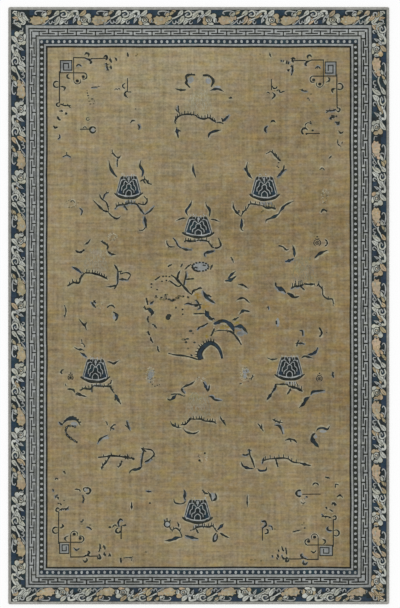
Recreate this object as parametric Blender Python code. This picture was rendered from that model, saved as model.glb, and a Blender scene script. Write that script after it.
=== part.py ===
"""A hand-knotted wool rug, lying flat on the floor.

The rug is one piece of cloth: cotton warp and weft with a worn wool pile knotted in, and a low bound edge
all round it where the pile stops. Metres, +Z up. The origin is the middle of the underside, +Y runs along
the rug's length and +X across its width.
"""

import bmesh
import bpy
from mathutils import Matrix, Vector

# Driving dimensions, in metres.
RUG_WIDTH = 2.740
RUG_LENGTH = 4.296
RUG_THICKNESS = 0.008

# The bound edge: warp ends and selvedge cord, with no pile on them.
BOUND_EDGE_THICKNESS = 0.005
BOUND_EDGE_WIDTH = 0.007
BOUND_EDGE_ROUNDING = 0.0015

# The pile's shoulder, and the rug's four corners seen from above.
PILE_SHOULDER_ROUNDING = 0.002
CORNER_RADIUS = 0.012
CORNER_SEGMENTS = 6
EDGE_SEGMENTS = 3

# Soft wool, the field's own worn gold, linear.
FIELD_COLOUR = (0.295, 0.238, 0.148, 1.0)
WOOL_ROUGHNESS = 0.95

NEARLY_ZERO = 1e-6


def clear_scene():
    """Removes whatever the startup file holds."""
    for obj in list(bpy.data.objects):
        bpy.data.objects.remove(obj, do_unlink=True)


def wool_material():
    """Matt wool for the whole rug."""
    material = bpy.data.materials.new("worn_wool")
    material.use_nodes = True
    shader = material.node_tree.nodes["Principled BSDF"]
    shader.inputs["Base Color"].default_value = FIELD_COLOUR
    shader.inputs["Roughness"].default_value = WOOL_ROUGHNESS
    shader.inputs["Metallic"].default_value = 0.0
    return material


def round_over(mesh, edges, radius, segments):
    """Rounds these edges of the mesh to an arc of the radius."""
    bmesh.ops.bevel(
        mesh,
        geom=edges,
        offset=radius,
        offset_type="OFFSET",
        affect="EDGES",
        segments=segments,
        profile=0.5,
        material=-1,
    )


def upright_edges(mesh):
    """The four edges that stand upright at the corners of the plain slab."""
    return [e for e in mesh.edges if abs(e.verts[0].co.z - e.verts[1].co.z) > NEARLY_ZERO]


def rim_edges(mesh, height):
    """The edges at this height where a level face meets an upright one."""
    found = []
    for edge in mesh.edges:
        at_height = all(abs(v.co.z - height) < NEARLY_ZERO for v in edge.verts)
        upright_sides = sum(abs(f.normal.z) < 0.5 for f in edge.link_faces)
        if at_height and upright_sides == 1:
            found.append(edge)
    return found


def bound_slab(mesh):
    """The rug's outline at the thickness of its bound edge, with its corners slightly worn round."""
    bmesh.ops.create_cube(mesh, size=1.0)
    size = Vector((RUG_WIDTH, RUG_LENGTH, BOUND_EDGE_THICKNESS))
    bmesh.ops.scale(mesh, vec=size, verts=mesh.verts)
    lift = Matrix.Translation((0, 0, BOUND_EDGE_THICKNESS / 2))
    bmesh.ops.transform(mesh, matrix=lift, verts=mesh.verts)
    round_over(mesh, upright_edges(mesh), CORNER_RADIUS, CORNER_SEGMENTS)
    mesh.normal_update()


def raise_pile(mesh):
    """Raises the pile from the top of the slab, inside the bound edge."""
    top = max(mesh.faces, key=lambda face: (face.normal.z, face.calc_area()))
    bmesh.ops.inset_region(mesh, faces=[top], thickness=BOUND_EDGE_WIDTH, use_even_offset=True)
    raised = bmesh.ops.extrude_face_region(mesh, geom=[top])
    moved = [item for item in raised["geom"] if isinstance(item, bmesh.types.BMVert)]
    pile_height = RUG_THICKNESS - BOUND_EDGE_THICKNESS
    bmesh.ops.translate(mesh, vec=Vector((0, 0, pile_height)), verts=moved)
    bmesh.ops.delete(mesh, geom=[top], context="FACES_ONLY")
    mesh.normal_update()


def make_rug():
    """The rug as one closed solid."""
    mesh = bmesh.new()
    bound_slab(mesh)
    raise_pile(mesh)
    round_over(mesh, rim_edges(mesh, RUG_THICKNESS), PILE_SHOULDER_ROUNDING, EDGE_SEGMENTS)
    mesh.normal_update()
    outer_rim = [
        edge
        for edge in rim_edges(mesh, BOUND_EDGE_THICKNESS)
        if max(abs(v.co.x) for v in edge.verts) > RUG_WIDTH / 2 - BOUND_EDGE_WIDTH / 2
        or max(abs(v.co.y) for v in edge.verts) > RUG_LENGTH / 2 - BOUND_EDGE_WIDTH / 2
    ]
    round_over(mesh, outer_rim, BOUND_EDGE_ROUNDING, EDGE_SEGMENTS)
    data = bpy.data.meshes.new("rug")
    mesh.to_mesh(data)
    mesh.free()
    data.materials.append(wool_material())
    return bpy.data.objects.new("rug", data)


def main():
    """Builds the rug in a collection of its own."""
    clear_scene()
    collection = bpy.data.collections.new("chinese_rug")
    bpy.context.scene.collection.children.link(collection)
    collection.objects.link(make_rug())


main()
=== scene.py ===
"""A worn hand-knotted rug in the old Chinese manner, lying on a pale studio floor.

The pile is drawn as a weaver's plan: bands, key fret, pearls, a scrolling vine, corner frets, flower
mounds, sprigs and a round middle motif. The outlines of the plan are laid into one level net, so each wool
of the pile is a piece of its own and all of them lie in one surface. Under them is the rug's body, with its
bound edge.
"""

import logging
import math
import random
from collections.abc import Callable, Iterable
from dataclasses import dataclass, field, replace
from enum import Enum

import bmesh
import bpy
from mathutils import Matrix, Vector, kdtree, noise
from mathutils.geometry import delaunay_2d_cdt


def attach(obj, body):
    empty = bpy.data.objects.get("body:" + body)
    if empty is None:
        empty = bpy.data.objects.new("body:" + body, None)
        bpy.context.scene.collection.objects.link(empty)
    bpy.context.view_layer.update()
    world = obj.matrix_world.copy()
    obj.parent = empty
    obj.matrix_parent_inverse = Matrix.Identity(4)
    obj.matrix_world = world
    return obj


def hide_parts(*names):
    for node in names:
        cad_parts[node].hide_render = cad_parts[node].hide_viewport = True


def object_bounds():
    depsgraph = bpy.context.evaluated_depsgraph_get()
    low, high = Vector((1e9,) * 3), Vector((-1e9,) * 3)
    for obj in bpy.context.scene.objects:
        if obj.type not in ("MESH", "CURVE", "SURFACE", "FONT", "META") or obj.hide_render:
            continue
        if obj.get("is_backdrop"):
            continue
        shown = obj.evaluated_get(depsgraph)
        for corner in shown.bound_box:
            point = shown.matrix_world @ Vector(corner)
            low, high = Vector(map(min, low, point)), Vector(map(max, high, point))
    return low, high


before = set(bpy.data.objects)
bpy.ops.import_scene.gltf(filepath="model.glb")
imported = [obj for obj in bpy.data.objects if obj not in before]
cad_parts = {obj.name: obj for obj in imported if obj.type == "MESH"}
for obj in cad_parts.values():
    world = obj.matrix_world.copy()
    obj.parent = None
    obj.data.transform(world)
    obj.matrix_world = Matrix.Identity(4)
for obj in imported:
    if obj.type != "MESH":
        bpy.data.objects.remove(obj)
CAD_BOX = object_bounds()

log = logging.getLogger("rug")

Point = tuple[float, float]
Path = tuple[Point, ...]
Wave = tuple[float, float, float, float]

# The rug as the CAD model has it, in millimetres.
RUG_WIDTH = 2740.0
RUG_LENGTH = 4296.0
CORNER_RADIUS = 12.0
BODY_EDGE_HEIGHT = 5.0
BODY_EDGE_WIDTH = 7.0
BODY_EDGE_ROUNDING = 1.5
BODY_TOP_HEIGHT = 6.4
PILE_HEIGHT = 7.9

# How the worn pile rises and falls, how high it starts at the bound edge, and its shoulder there.
CLOTH_WAVES: tuple[Wave, ...] = ((310, 290, 0.5, 0.35),)
PILE_FOOT = 0.15
SHOULDER_START = 2.2
SHOULDER_WIDTH = 11.8

# How far a hand-knotted line strays, and where from the edge the straying starts and how fast it grows.
WANDER_REACH = 3.2
WANDER_START = 12
WANDER_GROWTH = 60
WANDER_ACROSS: tuple[Wave, ...] = ((520, 260, 2, 1), (90, 70, 4, 0.3))
WANDER_ALONG: tuple[Wave, ...] = ((240, 520, 7, 1), (80, 90, 9, 0.3))

# One square of the weaver's plan is two knots each way. It is also one pixel of the photograph, so a place on
# the plan is counted from the photograph's upper left corner.
PLAN_SQUARE = 7.193
RUG_MIDDLE_SQUARE = (198.8, 305.6)
PHOTO_SIZE = (400, 608)

# Tones between a wool's deep dye, 0, and its pale one, 1, and widths in squares of the plan, that recur.
RIM_WIDTH = 0.6
RIM_DYE = 0.2
PETAL_RIM_DYE = 0.25
VEIN_WIDTH = 0.36
VEIN_DYE = 0.8
GHOST_DYE = 0.9

# How far apart the points of the border's curves are, in squares.
BORDER_STEP = 0.7

# How wide the dark bed of a stem and of its round head shows on each side.
STEM_RIM = 0.5
HEAD_RIM = 0.4

# A blade up to this width is too thin for the indigo inside, and a wider one has a dark rim of this width.
THIN_BLADE = 2.5
BLADE_RIM = 0.75

# A twig with more thorns than these is drawn a little thinner.
FEW_THORNS = 4

# How many of the blooms beside dark lines are lilac. The others are grey.
LILAC_SHARE = 0.25

# The sockets of a colour mix, whose names are also those of its other kinds.
MIX_SHARE, MIX_FIRST, MIX_SECOND, MIX_RESULT = 0, 6, 7, 2

SEED = 7


def clamped(value: float) -> float:
    """The value kept between 0 and 1."""
    return min(max(value, 0), 1)


def to_linear(sheet: str) -> tuple[float, float, float, float]:
    """Turns an sRGB colour into Blender's linear one.

    Args:
        sheet: The colour as six hexadecimal digits.

    Returns:
        Red, green and blue in linear light, and a full alpha.
    """
    channels = [int(sheet[i:i + 2], 16) / 255 for i in (0, 2, 4)]
    turned = [c / 12.92 if c <= 0.04045 else ((c + 0.055) / 1.055) ** 2.4 for c in channels]
    return (turned[0], turned[1], turned[2], 1.0)


class Wool(Enum):
    """The dyed wools of the pile. Each is one piece of the rug."""

    FIELD = "wool_gold_field"
    GUARD = "wool_guard_stripe"
    NAVY = "wool_indigo"
    INK = "wool_dark_outline"
    SILVER = "wool_pale_blue"
    IVORY = "wool_ivory"
    APRICOT = "wool_apricot"
    FADED = "wool_faded_motifs"
    OCHRE = "wool_rubbed_ochre"


@dataclass(frozen=True)
class Outline:
    """One closed shape of the plan, in millimetres from the rug's middle."""

    wool: Wool
    points: Path
    dye: float

    def box(self) -> tuple[float, float, float, float]:
        """Its least and greatest x, and its least and greatest y."""
        across, along = zip(*self.points)
        return min(across), max(across), min(along), max(along)


def signed_area(points: Path) -> float:
    """The area inside a closed outline, negative where it runs clockwise.

    Args:
        points: The outline's corners.

    Returns:
        The area in square units.
    """
    total = 0.0
    for (ax, ay), (bx, by) in zip(points, points[1:] + points[:1]):
        total += ax * by - bx * ay
    return total / 2


@dataclass
class KnotPlan:
    """The rug's drawing. A later outline covers what is under it."""

    outlines: list[Outline] = field(default_factory=list)
    halos: list[Outline] = field(default_factory=list)
    longest_side: float = 45.0
    field_spacing: float = 21.0
    merging: float = 0.002
    least_area: float = 1.0

    def fill(self, wool: Wool, points: Iterable[Point], dye: float = 0.5, under: bool = False) -> None:
        """Adds one closed outline.

        Args:
            wool: The wool it is knotted in.
            points: Its corners in order, either way round.
            dye: Where the wool's colour lies between its deep tone, 0, and its pale one, 1.
            under: Whether it lies under the whole of the group that is being drawn.
        """
        corners = tuple(points)
        area = signed_area(corners)
        if abs(area) < self.least_area:
            return
        if area < 0:
            corners = corners[::-1]
        chosen = self.halos if under else self.outlines
        chosen.append(Outline(wool, self.divided(corners), dye))

    def settle(self, first: int) -> None:
        """Lays the waiting halos under all outlines from the place `first` on."""
        self.outlines[first:first] = self.halos
        self.halos = []

    def divided(self, corners: Path) -> Path:
        """An outline with points set into its long sides, so that it can follow the cloth's wander.

        Args:
            corners: The outline's corners.

        Returns:
            The same outline with more points.
        """
        found: list[Point] = []
        for (ax, ay), (bx, by) in zip(corners, corners[1:] + corners[:1]):
            parts = max(1, math.ceil(math.hypot(bx - ax, by - ay) / self.longest_side))
            found.extend((ax + (bx - ax) * i / parts, ay + (by - ay) * i / parts) for i in range(parts))
        return tuple(found)

    def laid(self) -> tuple[list[Point], list[tuple[tuple[int, ...], Outline]]]:
        """Lays all outlines into one net of triangles in the plane.

        No operator of bmesh lays many crossing outlines into one level surface, so this uses the constrained
        triangulation of mathutils.

        Returns:
            The net's points, and each triangle with the topmost outline that holds it.
        """
        places: list[Vector] = []
        faces: list[list[int]] = []
        for outline in self.outlines:
            first = len(places)
            places.extend(Vector(point) for point in outline.points)
            faces.append(list(range(first, len(places))))
        across = round(RUG_WIDTH / self.field_spacing)
        along = round(RUG_LENGTH / self.field_spacing)
        for i in range(1, across):
            for j in range(1, along):
                shift = 0.5 * (j % 2) - 0.25
                x = -RUG_WIDTH / 2 + RUG_WIDTH * (i + shift) / across
                y = -RUG_LENGTH / 2 + RUG_LENGTH * j / along
                places.append(Vector((x, y)))
        net = delaunay_2d_cdt(places, [], faces, 0, self.merging, True)
        points = [(point.x, point.y) for point in net[0]]
        boxes = [outline.box() for outline in self.outlines]
        panels = []
        for corners, owners in zip(net[2], net[5]):
            x = sum(points[i][0] for i in corners) / 3
            y = sum(points[i][1] for i in corners) / 3
            held = [k for k in owners if boxes[k][0] < x < boxes[k][1] and boxes[k][2] < y < boxes[k][3]]
            if held:
                panels.append((tuple(corners), self.outlines[max(held)]))
        return points, panels


def smooth(path: Path, step: float) -> Path:
    """A soft curve through a few points.

    Args:
        path: The points it passes through.
        step: About how far apart its own points are.

    Returns:
        The curve's points, from the first to the last of the path.
    """
    first = (2 * path[0][0] - path[1][0], 2 * path[0][1] - path[1][1])
    last = (2 * path[-1][0] - path[-2][0], 2 * path[-1][1] - path[-2][1])
    knots = [first, *path, last]
    found: list[Point] = []
    for a, b, c, d in zip(knots, knots[1:], knots[2:], knots[3:]):
        parts = max(1, round(math.hypot(c[0] - b[0], c[1] - b[1]) / step))
        for i in range(parts):
            t = i / parts
            found.append(tuple(
                0.5 * (2 * q + (r - p) * t + (2 * p - 5 * q + 4 * r - s) * t * t
                       + (3 * q - p - 3 * r + s) * t ** 3)
                for p, q, r, s in zip(a, b, c, d)
            ))
    found.append(path[-1])
    return tuple(found)


def even(_: float) -> float:
    """The width profile of a line that is as wide all along."""
    return 1.0


def brushed(t: float) -> float:
    """The width profile of a line that thins at both ends, for t from 0 to 1."""
    return 0.55 + 0.45 * math.sin(math.pi * min(max(t, 0.02), 0.98)) ** 0.6


def widest(at: float) -> Callable[[float], float]:
    """The width profile of a leaf that is widest at a place between its ends, from 0 to 1."""
    return lambda t: max(0.2, clamped(min(t / at, (1 - t) / (1 - at))) ** 0.6)


def uneven(profile: Callable[[float], float], rng: random.Random) -> Callable[[float], float]:
    """The same width profile with the lumps of a line that is tied knot by knot.

    Args:
        profile: The smooth profile.
        rng: The source of the lumps' spacing and start.

    Returns:
        The lumpy profile.
    """
    beat, start = rng.uniform(10.0, 18.0), rng.uniform(0.0, 6.0)
    return lambda t: profile(t) * (1.0 + 0.22 * math.sin(beat * t + start))


@dataclass(frozen=True)
class Pen:
    """Draws on the plan in units of its own, turned and placed as it is held."""

    plan: KnotPlan
    origin: Point = (0.0, 0.0)
    along: Point = (PLAN_SQUARE, 0.0)
    across: Point = (0.0, -PLAN_SQUARE)
    step: float = 0.8
    under: bool = False

    def below(self) -> "Pen":
        """The same pen, but drawing what lies under everything else of its group."""
        return replace(self, under=True)

    def stretched(self, at: Point, wider: float, taller: float) -> "Pen":
        """The same pen moved and stretched, or turned over where a factor is negative.

        Args:
            at: Its new zero, in the units of this pen.
            wider: How much longer its first axis becomes.
            taller: How much longer its second axis becomes.

        Returns:
            The new pen, which draws over what is under it.
        """
        along = (self.along[0] * wider, self.along[1] * wider)
        across = (self.across[0] * taller, self.across[1] * taller)
        return Pen(self.plan, self.place(at), along, across, self.step)

    def place(self, point: Point) -> Point:
        """The spot on the rug of a point in the pen's units."""
        x = self.origin[0] + point[0] * self.along[0] + point[1] * self.across[0]
        y = self.origin[1] + point[0] * self.along[1] + point[1] * self.across[1]
        return (x, y)

    def held(self, at: Point, turn: float = 0.0, scale: float = 1.0, mirror: bool = False) -> "Pen":
        """The same pen moved, turned and scaled.

        Args:
            at: Its new zero, in the units of this pen.
            turn: Degrees from the first axis towards the second.
            scale: How much larger its units become.
            mirror: Whether its first axis is turned round.

        Returns:
            The new pen.
        """
        c, s = math.cos(math.radians(turn)) * scale, math.sin(math.radians(turn)) * scale
        side = -1.0 if mirror else 1.0
        along = (
            side * (c * self.along[0] + s * self.across[0]),
            side * (c * self.along[1] + s * self.across[1]),
        )
        across = (-s * self.along[0] + c * self.across[0], -s * self.along[1] + c * self.across[1])
        return Pen(self.plan, self.place(at), along, across, self.step / max(scale, 0.2), self.under)

    def fill(self, wool: Wool, points: Iterable[Point], dye: float = 0.5) -> None:
        """Fills a closed outline given in the pen's units."""
        self.plan.fill(wool, [self.place(point) for point in points], dye, self.under)

    def box(self, wool: Wool, low: Point, high: Point, dye: float = 0.5) -> None:
        """Fills an upright rectangle between two corners."""
        self.fill(wool, (low, (high[0], low[1]), high, (low[0], high[1])), dye)

    def disc(self, wool: Wool, at: Point, radii: Point, dye: float = 0.5, sides: int = 10) -> None:
        """Fills an ellipse.

        Args:
            wool: Its wool.
            at: Its middle.
            radii: Its half width and half height.
            dye: Its place between the wool's deep and pale tones.
            sides: How many corners stand for the round.
        """
        turns = [2 * math.pi * (i + 0.5) / sides for i in range(sides)]
        corners = [(at[0] + radii[0] * math.cos(a), at[1] + radii[1] * math.sin(a)) for a in turns]
        self.fill(wool, corners, dye)

    def ribbon(
        self, wool: Wool, path: Path, width: float, profile: Callable[[float], float], dye: float = 0.5
    ) -> None:
        """Draws a band along a path as a row of four-sided cells.

        Args:
            wool: Its wool.
            path: The middle line, already smooth.
            width: Its full width where the profile is 1.
            profile: The share of the width at each place from 0 to 1.
            dye: Its place between the wool's deep and pale tones.
        """
        if len(path) < 2:
            return
        reach = [0.0]
        for (ax, ay), (bx, by) in zip(path, path[1:]):
            reach.append(reach[-1] + math.hypot(bx - ax, by - ay))
        if reach[-1] <= 0:
            return
        sides: list[tuple[Point, Point]] = []
        for i, (x, y) in enumerate(path):
            before, after = path[max(i - 1, 0)], path[min(i + 1, len(path) - 1)]
            dx, dy = after[0] - before[0], after[1] - before[1]
            size = math.hypot(dx, dy) or 1.0
            half = width * profile(reach[i] / reach[-1]) / 2
            nx, ny = -dy / size * half, dx / size * half
            sides.append(((x + nx, y + ny), (x - nx, y - ny)))
        for (a, b), (d, c) in zip(sides, sides[1:]):
            halves = (signed_area((a, b, c)), signed_area((a, c, d)))
            if halves[0] * halves[1] > 0:
                self.fill(wool, (a, b, c, d), dye)
            else:
                self.fill(wool, (a, b, c), dye)
                self.fill(wool, (a, c, d), dye)

    def line(
        self, wool: Wool, path: Path, width: float = 1.0,
        profile: Callable[[float], float] = brushed, dye: float = 0.5,
    ) -> None:
        """Draws a soft line through a few points, with the arguments of a ribbon."""
        self.ribbon(wool, smooth(path, self.step), width, profile, dye)

    def ruled(self, wool: Wool, path: Path, width: float = 1.0, dye: float = 0.5) -> None:
        """Draws straight strokes with square corners.

        Args:
            wool: Their wool.
            path: Points that share a row or a column with the next.
            width: The strokes' width.
            dye: Their place between the wool's deep and pale tones.
        """
        half = width / 2
        for (ax, ay), (bx, by) in zip(path, path[1:]):
            low = (min(ax, bx) - half, min(ay, by) - half)
            high = (max(ax, bx) + half, max(ay, by) + half)
            self.box(wool, low, high, dye)

    def arc(
        self, wool: Wool, at: Point, radius: float, start: float, sweep: float, width: float = 1.0,
        profile: Callable[[float], float] = brushed, dye: float = 0.5, closing: float = 0.0,
    ) -> None:
        """Draws part of a circle or a spiral.

        Args:
            wool: Its wool.
            at: The middle of the circle.
            radius: Its radius at the start.
            start: The angle in degrees at which it starts, from the first axis towards the second.
            sweep: How far it turns, in degrees, which may be negative.
            width: The line's width.
            profile: The share of the width at each place from 0 to 1.
            dye: Its place between the wool's deep and pale tones.
            closing: The share of the radius that is lost by the end, for a spiral.
        """
        parts = max(4, round(abs(math.radians(sweep)) * radius / self.step))
        path = []
        for i in range(parts + 1):
            t = i / parts
            angle = math.radians(start + sweep * t)
            r = radius * (1 - closing * t)
            path.append((at[0] + r * math.cos(angle), at[1] + r * math.sin(angle)))
        self.ribbon(wool, tuple(path), width, profile, dye)


class Side(Enum):
    """A side of the rug as the photograph shows it, with the way its border is drawn.

    The first direction runs anticlockwise, and the second points outwards.
    """

    TOP = ((-1.0, 0.0), (0.0, 1.0))
    RIGHT = ((0.0, 1.0), (1.0, 0.0))
    BOTTOM = ((1.0, 0.0), (0.0, -1.0))
    LEFT = ((0.0, -1.0), (-1.0, 0.0))

    @property
    def upright(self) -> bool:
        """Whether the side runs along the rug's length."""
        return self in (Side.LEFT, Side.RIGHT)


@dataclass(frozen=True)
class BorderFit:
    """How the border sits on the rug. Its bands are a little wider at the top and narrower at the bottom."""

    width_factors: tuple[tuple[Side, float], ...] = (
        (Side.TOP, 1.034), (Side.RIGHT, 1.010), (Side.BOTTOM, 0.958), (Side.LEFT, 1.000),
    )

    def factor(self, side: Side) -> float:
        """The share of its nominal width that the border has on a side."""
        return dict(self.width_factors)[side]

    def ring(self, depth: float) -> tuple[Point, Point]:
        """The rectangle that lies inside the rug's edge.

        Args:
            depth: Its nominal depth inside the edge, in millimetres.

        Returns:
            Its low and high corners.
        """
        low = (
            -RUG_WIDTH / 2 + depth * self.factor(Side.LEFT),
            -RUG_LENGTH / 2 + depth * self.factor(Side.BOTTOM),
        )
        high = (
            RUG_WIDTH / 2 - depth * self.factor(Side.RIGHT),
            RUG_LENGTH / 2 - depth * self.factor(Side.TOP),
        )
        return low, high

    def pen(self, plan: KnotPlan, side: Side, depth: float, along_at: float) -> Pen:
        """A pen whose zero lies at a nominal depth inside a side and whose units are squares of the plan.

        Args:
            plan: The plan to draw on.
            side: The side.
            depth: The nominal depth of its zero, in millimetres.
            along_at: Where its zero lies along the side: the rug's x or y in millimetres.

        Returns:
            The pen, with its second axis pointing outwards.
        """
        (left, low), (right, high) = self.ring(depth)
        spots = {
            Side.TOP: (along_at, high), Side.RIGHT: (right, along_at),
            Side.BOTTOM: (along_at, low), Side.LEFT: (left, along_at),
        }
        (ax, ay), (cx, cy) = side.value
        unit = PLAN_SQUARE * self.factor(side)
        along, across = (ax * PLAN_SQUARE, ay * PLAN_SQUARE), (cx * unit, cy * unit)
        return Pen(plan, spots[side], along, across, BORDER_STEP)


def on_rug(square: Point) -> Point:
    """The spot on the rug, in millimetres, of a place counted in squares of the plan."""
    x = (square[0] - RUG_MIDDLE_SQUARE[0]) * PLAN_SQUARE
    y = (RUG_MIDDLE_SQUARE[1] - square[1]) * PLAN_SQUARE
    return (x, y)


@dataclass
class PlainBands:
    """The plain stripes and grounds of the border, as nested frames. Depths are millimetres from the edge."""

    fit: BorderFit
    # Depth where the band starts, its wool, and its place between the wool's deep and pale tones.
    bands: tuple[tuple[float, Wool, float], ...] = (
        (0, Wool.GUARD, 0.5),
        (18.5, Wool.INK, 0.25),
        (22.5, Wool.NAVY, 0.05),
        (127.5, Wool.SILVER, 0.54),
        (144.8, Wool.INK, 0),
        (154.5, Wool.SILVER, 0.73),
        (195.5, Wool.INK, 0.20),
        (204.5, Wool.SILVER, 0.62),
        (222, Wool.INK, 0.30),
        (257, Wool.SILVER, 0.55),
        (269.5, Wool.INK, 0),
        (282.5, Wool.FIELD, 0.5),
    )

    # Insets of the frames that only add points to the guard stripe, so that the pile's shoulder is round.
    shoulder: tuple[float, ...] = (2.2, 3.4, 5.2, 8.0, 11.5)

    def draw(self, plan: KnotPlan) -> None:
        """Draws every band from the rug's edge inwards."""
        for depth, wool, dye in self.bands:
            low, high = self.fit.ring(depth)
            if depth == 0:
                for inset in self.shoulder:
                    plan.fill(wool, self.rounded(low, high, inset), dye)
                continue
            plan.fill(wool, (low, (high[0], low[1]), high, (low[0], high[1])), dye)

    def rounded(self, low: Point, high: Point, inset: float) -> list[Point]:
        """The rug's own outline, moved inwards, with its corners rounded as the body's are.

        Args:
            low: The rug's low corner.
            high: Its high corner.
            inset: How far the outline lies inside.

        Returns:
            The outline's points.
        """
        radius, parts = max(CORNER_RADIUS - inset, 1), 4
        found: list[Point] = []
        for turn, (x, y) in enumerate((high, (low[0], high[1]), low, (high[0], low[1]))):
            cx = x - math.copysign(inset + radius, x)
            cy = y - math.copysign(inset + radius, y)
            for i in range(parts + 1):
                angle = math.radians(90 * turn + 90 * i / parts)
                found.append((cx + radius * math.cos(angle), cy + radius * math.sin(angle)))
        return found


@dataclass
class KeyFret:
    """The interlocking T fret between two dark lines. Sizes are millimetres."""

    fit: BorderFit
    outer_depth: float = 154.5
    inner_depth: float = 196.0
    pitch: float = 134.5
    line: float = 8.6
    outer_post: float = 30.5
    inner_post: float = 28.0
    outer_bar: float = 92.0
    inner_bar: float = 97.0
    straying: float = 3.0
    dye: float = 0.1
    # How broad its lines run on each side, against those at the top.
    line_factors: tuple[tuple[Side, float], ...] = (
        (Side.TOP, 1.0), (Side.RIGHT, 1.22), (Side.BOTTOM, 1.22), (Side.LEFT, 0.98),
    )

    def draw(self, plan: KnotPlan, rng: random.Random) -> None:
        """Draws the fret along all four sides, each with whole repeats between its corner posts.

        Args:
            plan: The plan to draw on.
            rng: The source of its small unevenness.
        """
        (left, low), (right, high) = self.fit.ring(self.outer_depth)
        for side in Side:
            start, end = (low, high) if side.upright else (left, right)
            repeats = round((end - start) / self.pitch)
            pitch = (end - start) / repeats
            factor = self.fit.factor(side)
            for i in range(repeats + 1):
                at = start + i * pitch
                if 0 < i < repeats:
                    outer = at + rng.uniform(-self.straying, self.straying)
                    self.tee(plan, side, outer, 0, self.outer_post * factor, self.outer_bar)
                if i < repeats:
                    middle = at + pitch / 2 + rng.uniform(-self.straying, self.straying)
                    width = (self.inner_depth - self.outer_depth) * factor
                    self.tee(plan, side, middle, width, width - self.inner_post * factor, self.inner_bar)

    def tee(self, plan: KnotPlan, side: Side, at: float, foot: float, head: float, bar: float) -> None:
        """Draws one T of the fret.

        Args:
            plan: The plan to draw on.
            side: The side it stands on.
            at: Its place along the side.
            foot: How far inside the fret's outer line its post starts.
            head: How far inside that line its bar lies.
            bar: The bar's length.
        """
        pen = self.fit.pen(plan, side, self.outer_depth, at)
        unit = PLAN_SQUARE * self.fit.factor(side)
        line = self.line * dict(self.line_factors)[side]
        half, thick = line / PLAN_SQUARE / 2, line / unit / 2
        low, high = sorted((-foot / unit, -head / unit))
        reach, level = bar / PLAN_SQUARE / 2, -head / unit
        pen.box(Wool.INK, (-half, low), (half, high), self.dye)
        pen.box(Wool.INK, (-reach, level - thick), (reach, level + thick), self.dye)


@dataclass
class PearlRow:
    """The row of pale pearls on the dark band, with one in each corner. Sizes are millimetres."""

    fit: BorderFit
    depth: float = 239.8
    pitch_across: float = 41.0
    pitch_along: float = 39.9
    pearl_along_row: float = 17.6
    pearl_across_row: float = 21.0
    ground: float = 34.0
    ground_dye: float = 0.3
    straying: float = 1.2
    sides: int = 10
    # Half a pearl of the level rows, as a share of its nominal size. The others keep to that size.
    level_half: float = 0.54
    # How far the round of a pearl is out of true, and how deep and how pale a pearl may be.
    swells: Point = (0.93, 1.07)
    dyes: Point = (0.72, 1.0)

    def draw(self, plan: KnotPlan, rng: random.Random) -> None:
        """Draws the pearls of the four sides, evenly between the corner ones.

        Args:
            plan: The plan to draw on.
            rng: The source of their small unevenness.
        """
        (left, low), (right, high) = self.fit.ring(self.depth)
        half = self.ground / 2
        ends = (left - half, right + half)
        for y in (low, high):
            corners = ((ends[0], y - half), (ends[1], y - half), (ends[1], y + half), (ends[0], y + half))
            plan.fill(Wool.NAVY, corners, self.ground_dye)
        rows = (
            ((left, high), (right, high), self.pitch_across, False),
            ((left, low), (right, low), self.pitch_across, False),
            ((left, low), (left, high), self.pitch_along, True),
            ((right, low), (right, high), self.pitch_along, True),
        )
        for (ax, ay), (bx, by), pitch, upright in rows:
            count = round(math.hypot(bx - ax, by - ay) / pitch)
            for i in range(1, count) if upright else range(count + 1):
                x = ax + (bx - ax) * i / count + rng.uniform(-self.straying, self.straying)
                y = ay + (by - ay) * i / count + rng.uniform(-self.straying, self.straying)
                self.pearl(plan, (x, y), upright, rng)

    def pearl(self, plan: KnotPlan, at: Point, upright: bool, rng: random.Random) -> None:
        """Draws one pearl as a slightly uneven oval.

        Args:
            plan: The plan to draw on.
            at: Its middle.
            upright: Whether its row runs along the rug's length. The others are a little larger.
            rng: The source of its unevenness.
        """
        half = (self.pearl_along_row * self.level_half, self.pearl_across_row * self.level_half)
        if upright:
            half = (self.pearl_across_row / 2, self.pearl_along_row / 2)
        points = []
        for i in range(self.sides):
            angle = 2 * math.pi * (i + 0.5) / self.sides
            swell = rng.uniform(*self.swells)
            x, y = half[0] * swell * math.cos(angle), half[1] * swell * math.sin(angle)
            points.append((at[0] + x, at[1] + y))
        plan.fill(Wool.SILVER, points, rng.uniform(*self.dyes))


@dataclass(frozen=True)
class PetalRow:
    """One petal or leaf of the vine: from root to tip in squares, its width, its wool and tone."""

    root: Point
    tip: Point
    width: float
    bend: float
    wool: Wool
    dye: float
    vein: bool = True


@dataclass(frozen=True)
class StemRow:
    """One pale stem or hook of the vine: its path and width in squares, its wool and tone, and its head."""

    path: Path
    width: float
    wool: Wool
    dye: float
    head: float = 0.0


@dataclass(frozen=True)
class Lobe:
    """One round petal of the vine's open flower: its middle and radii in squares, and how it is turned."""

    at: Point
    radii: Point
    turn: float = 0.0


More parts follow.
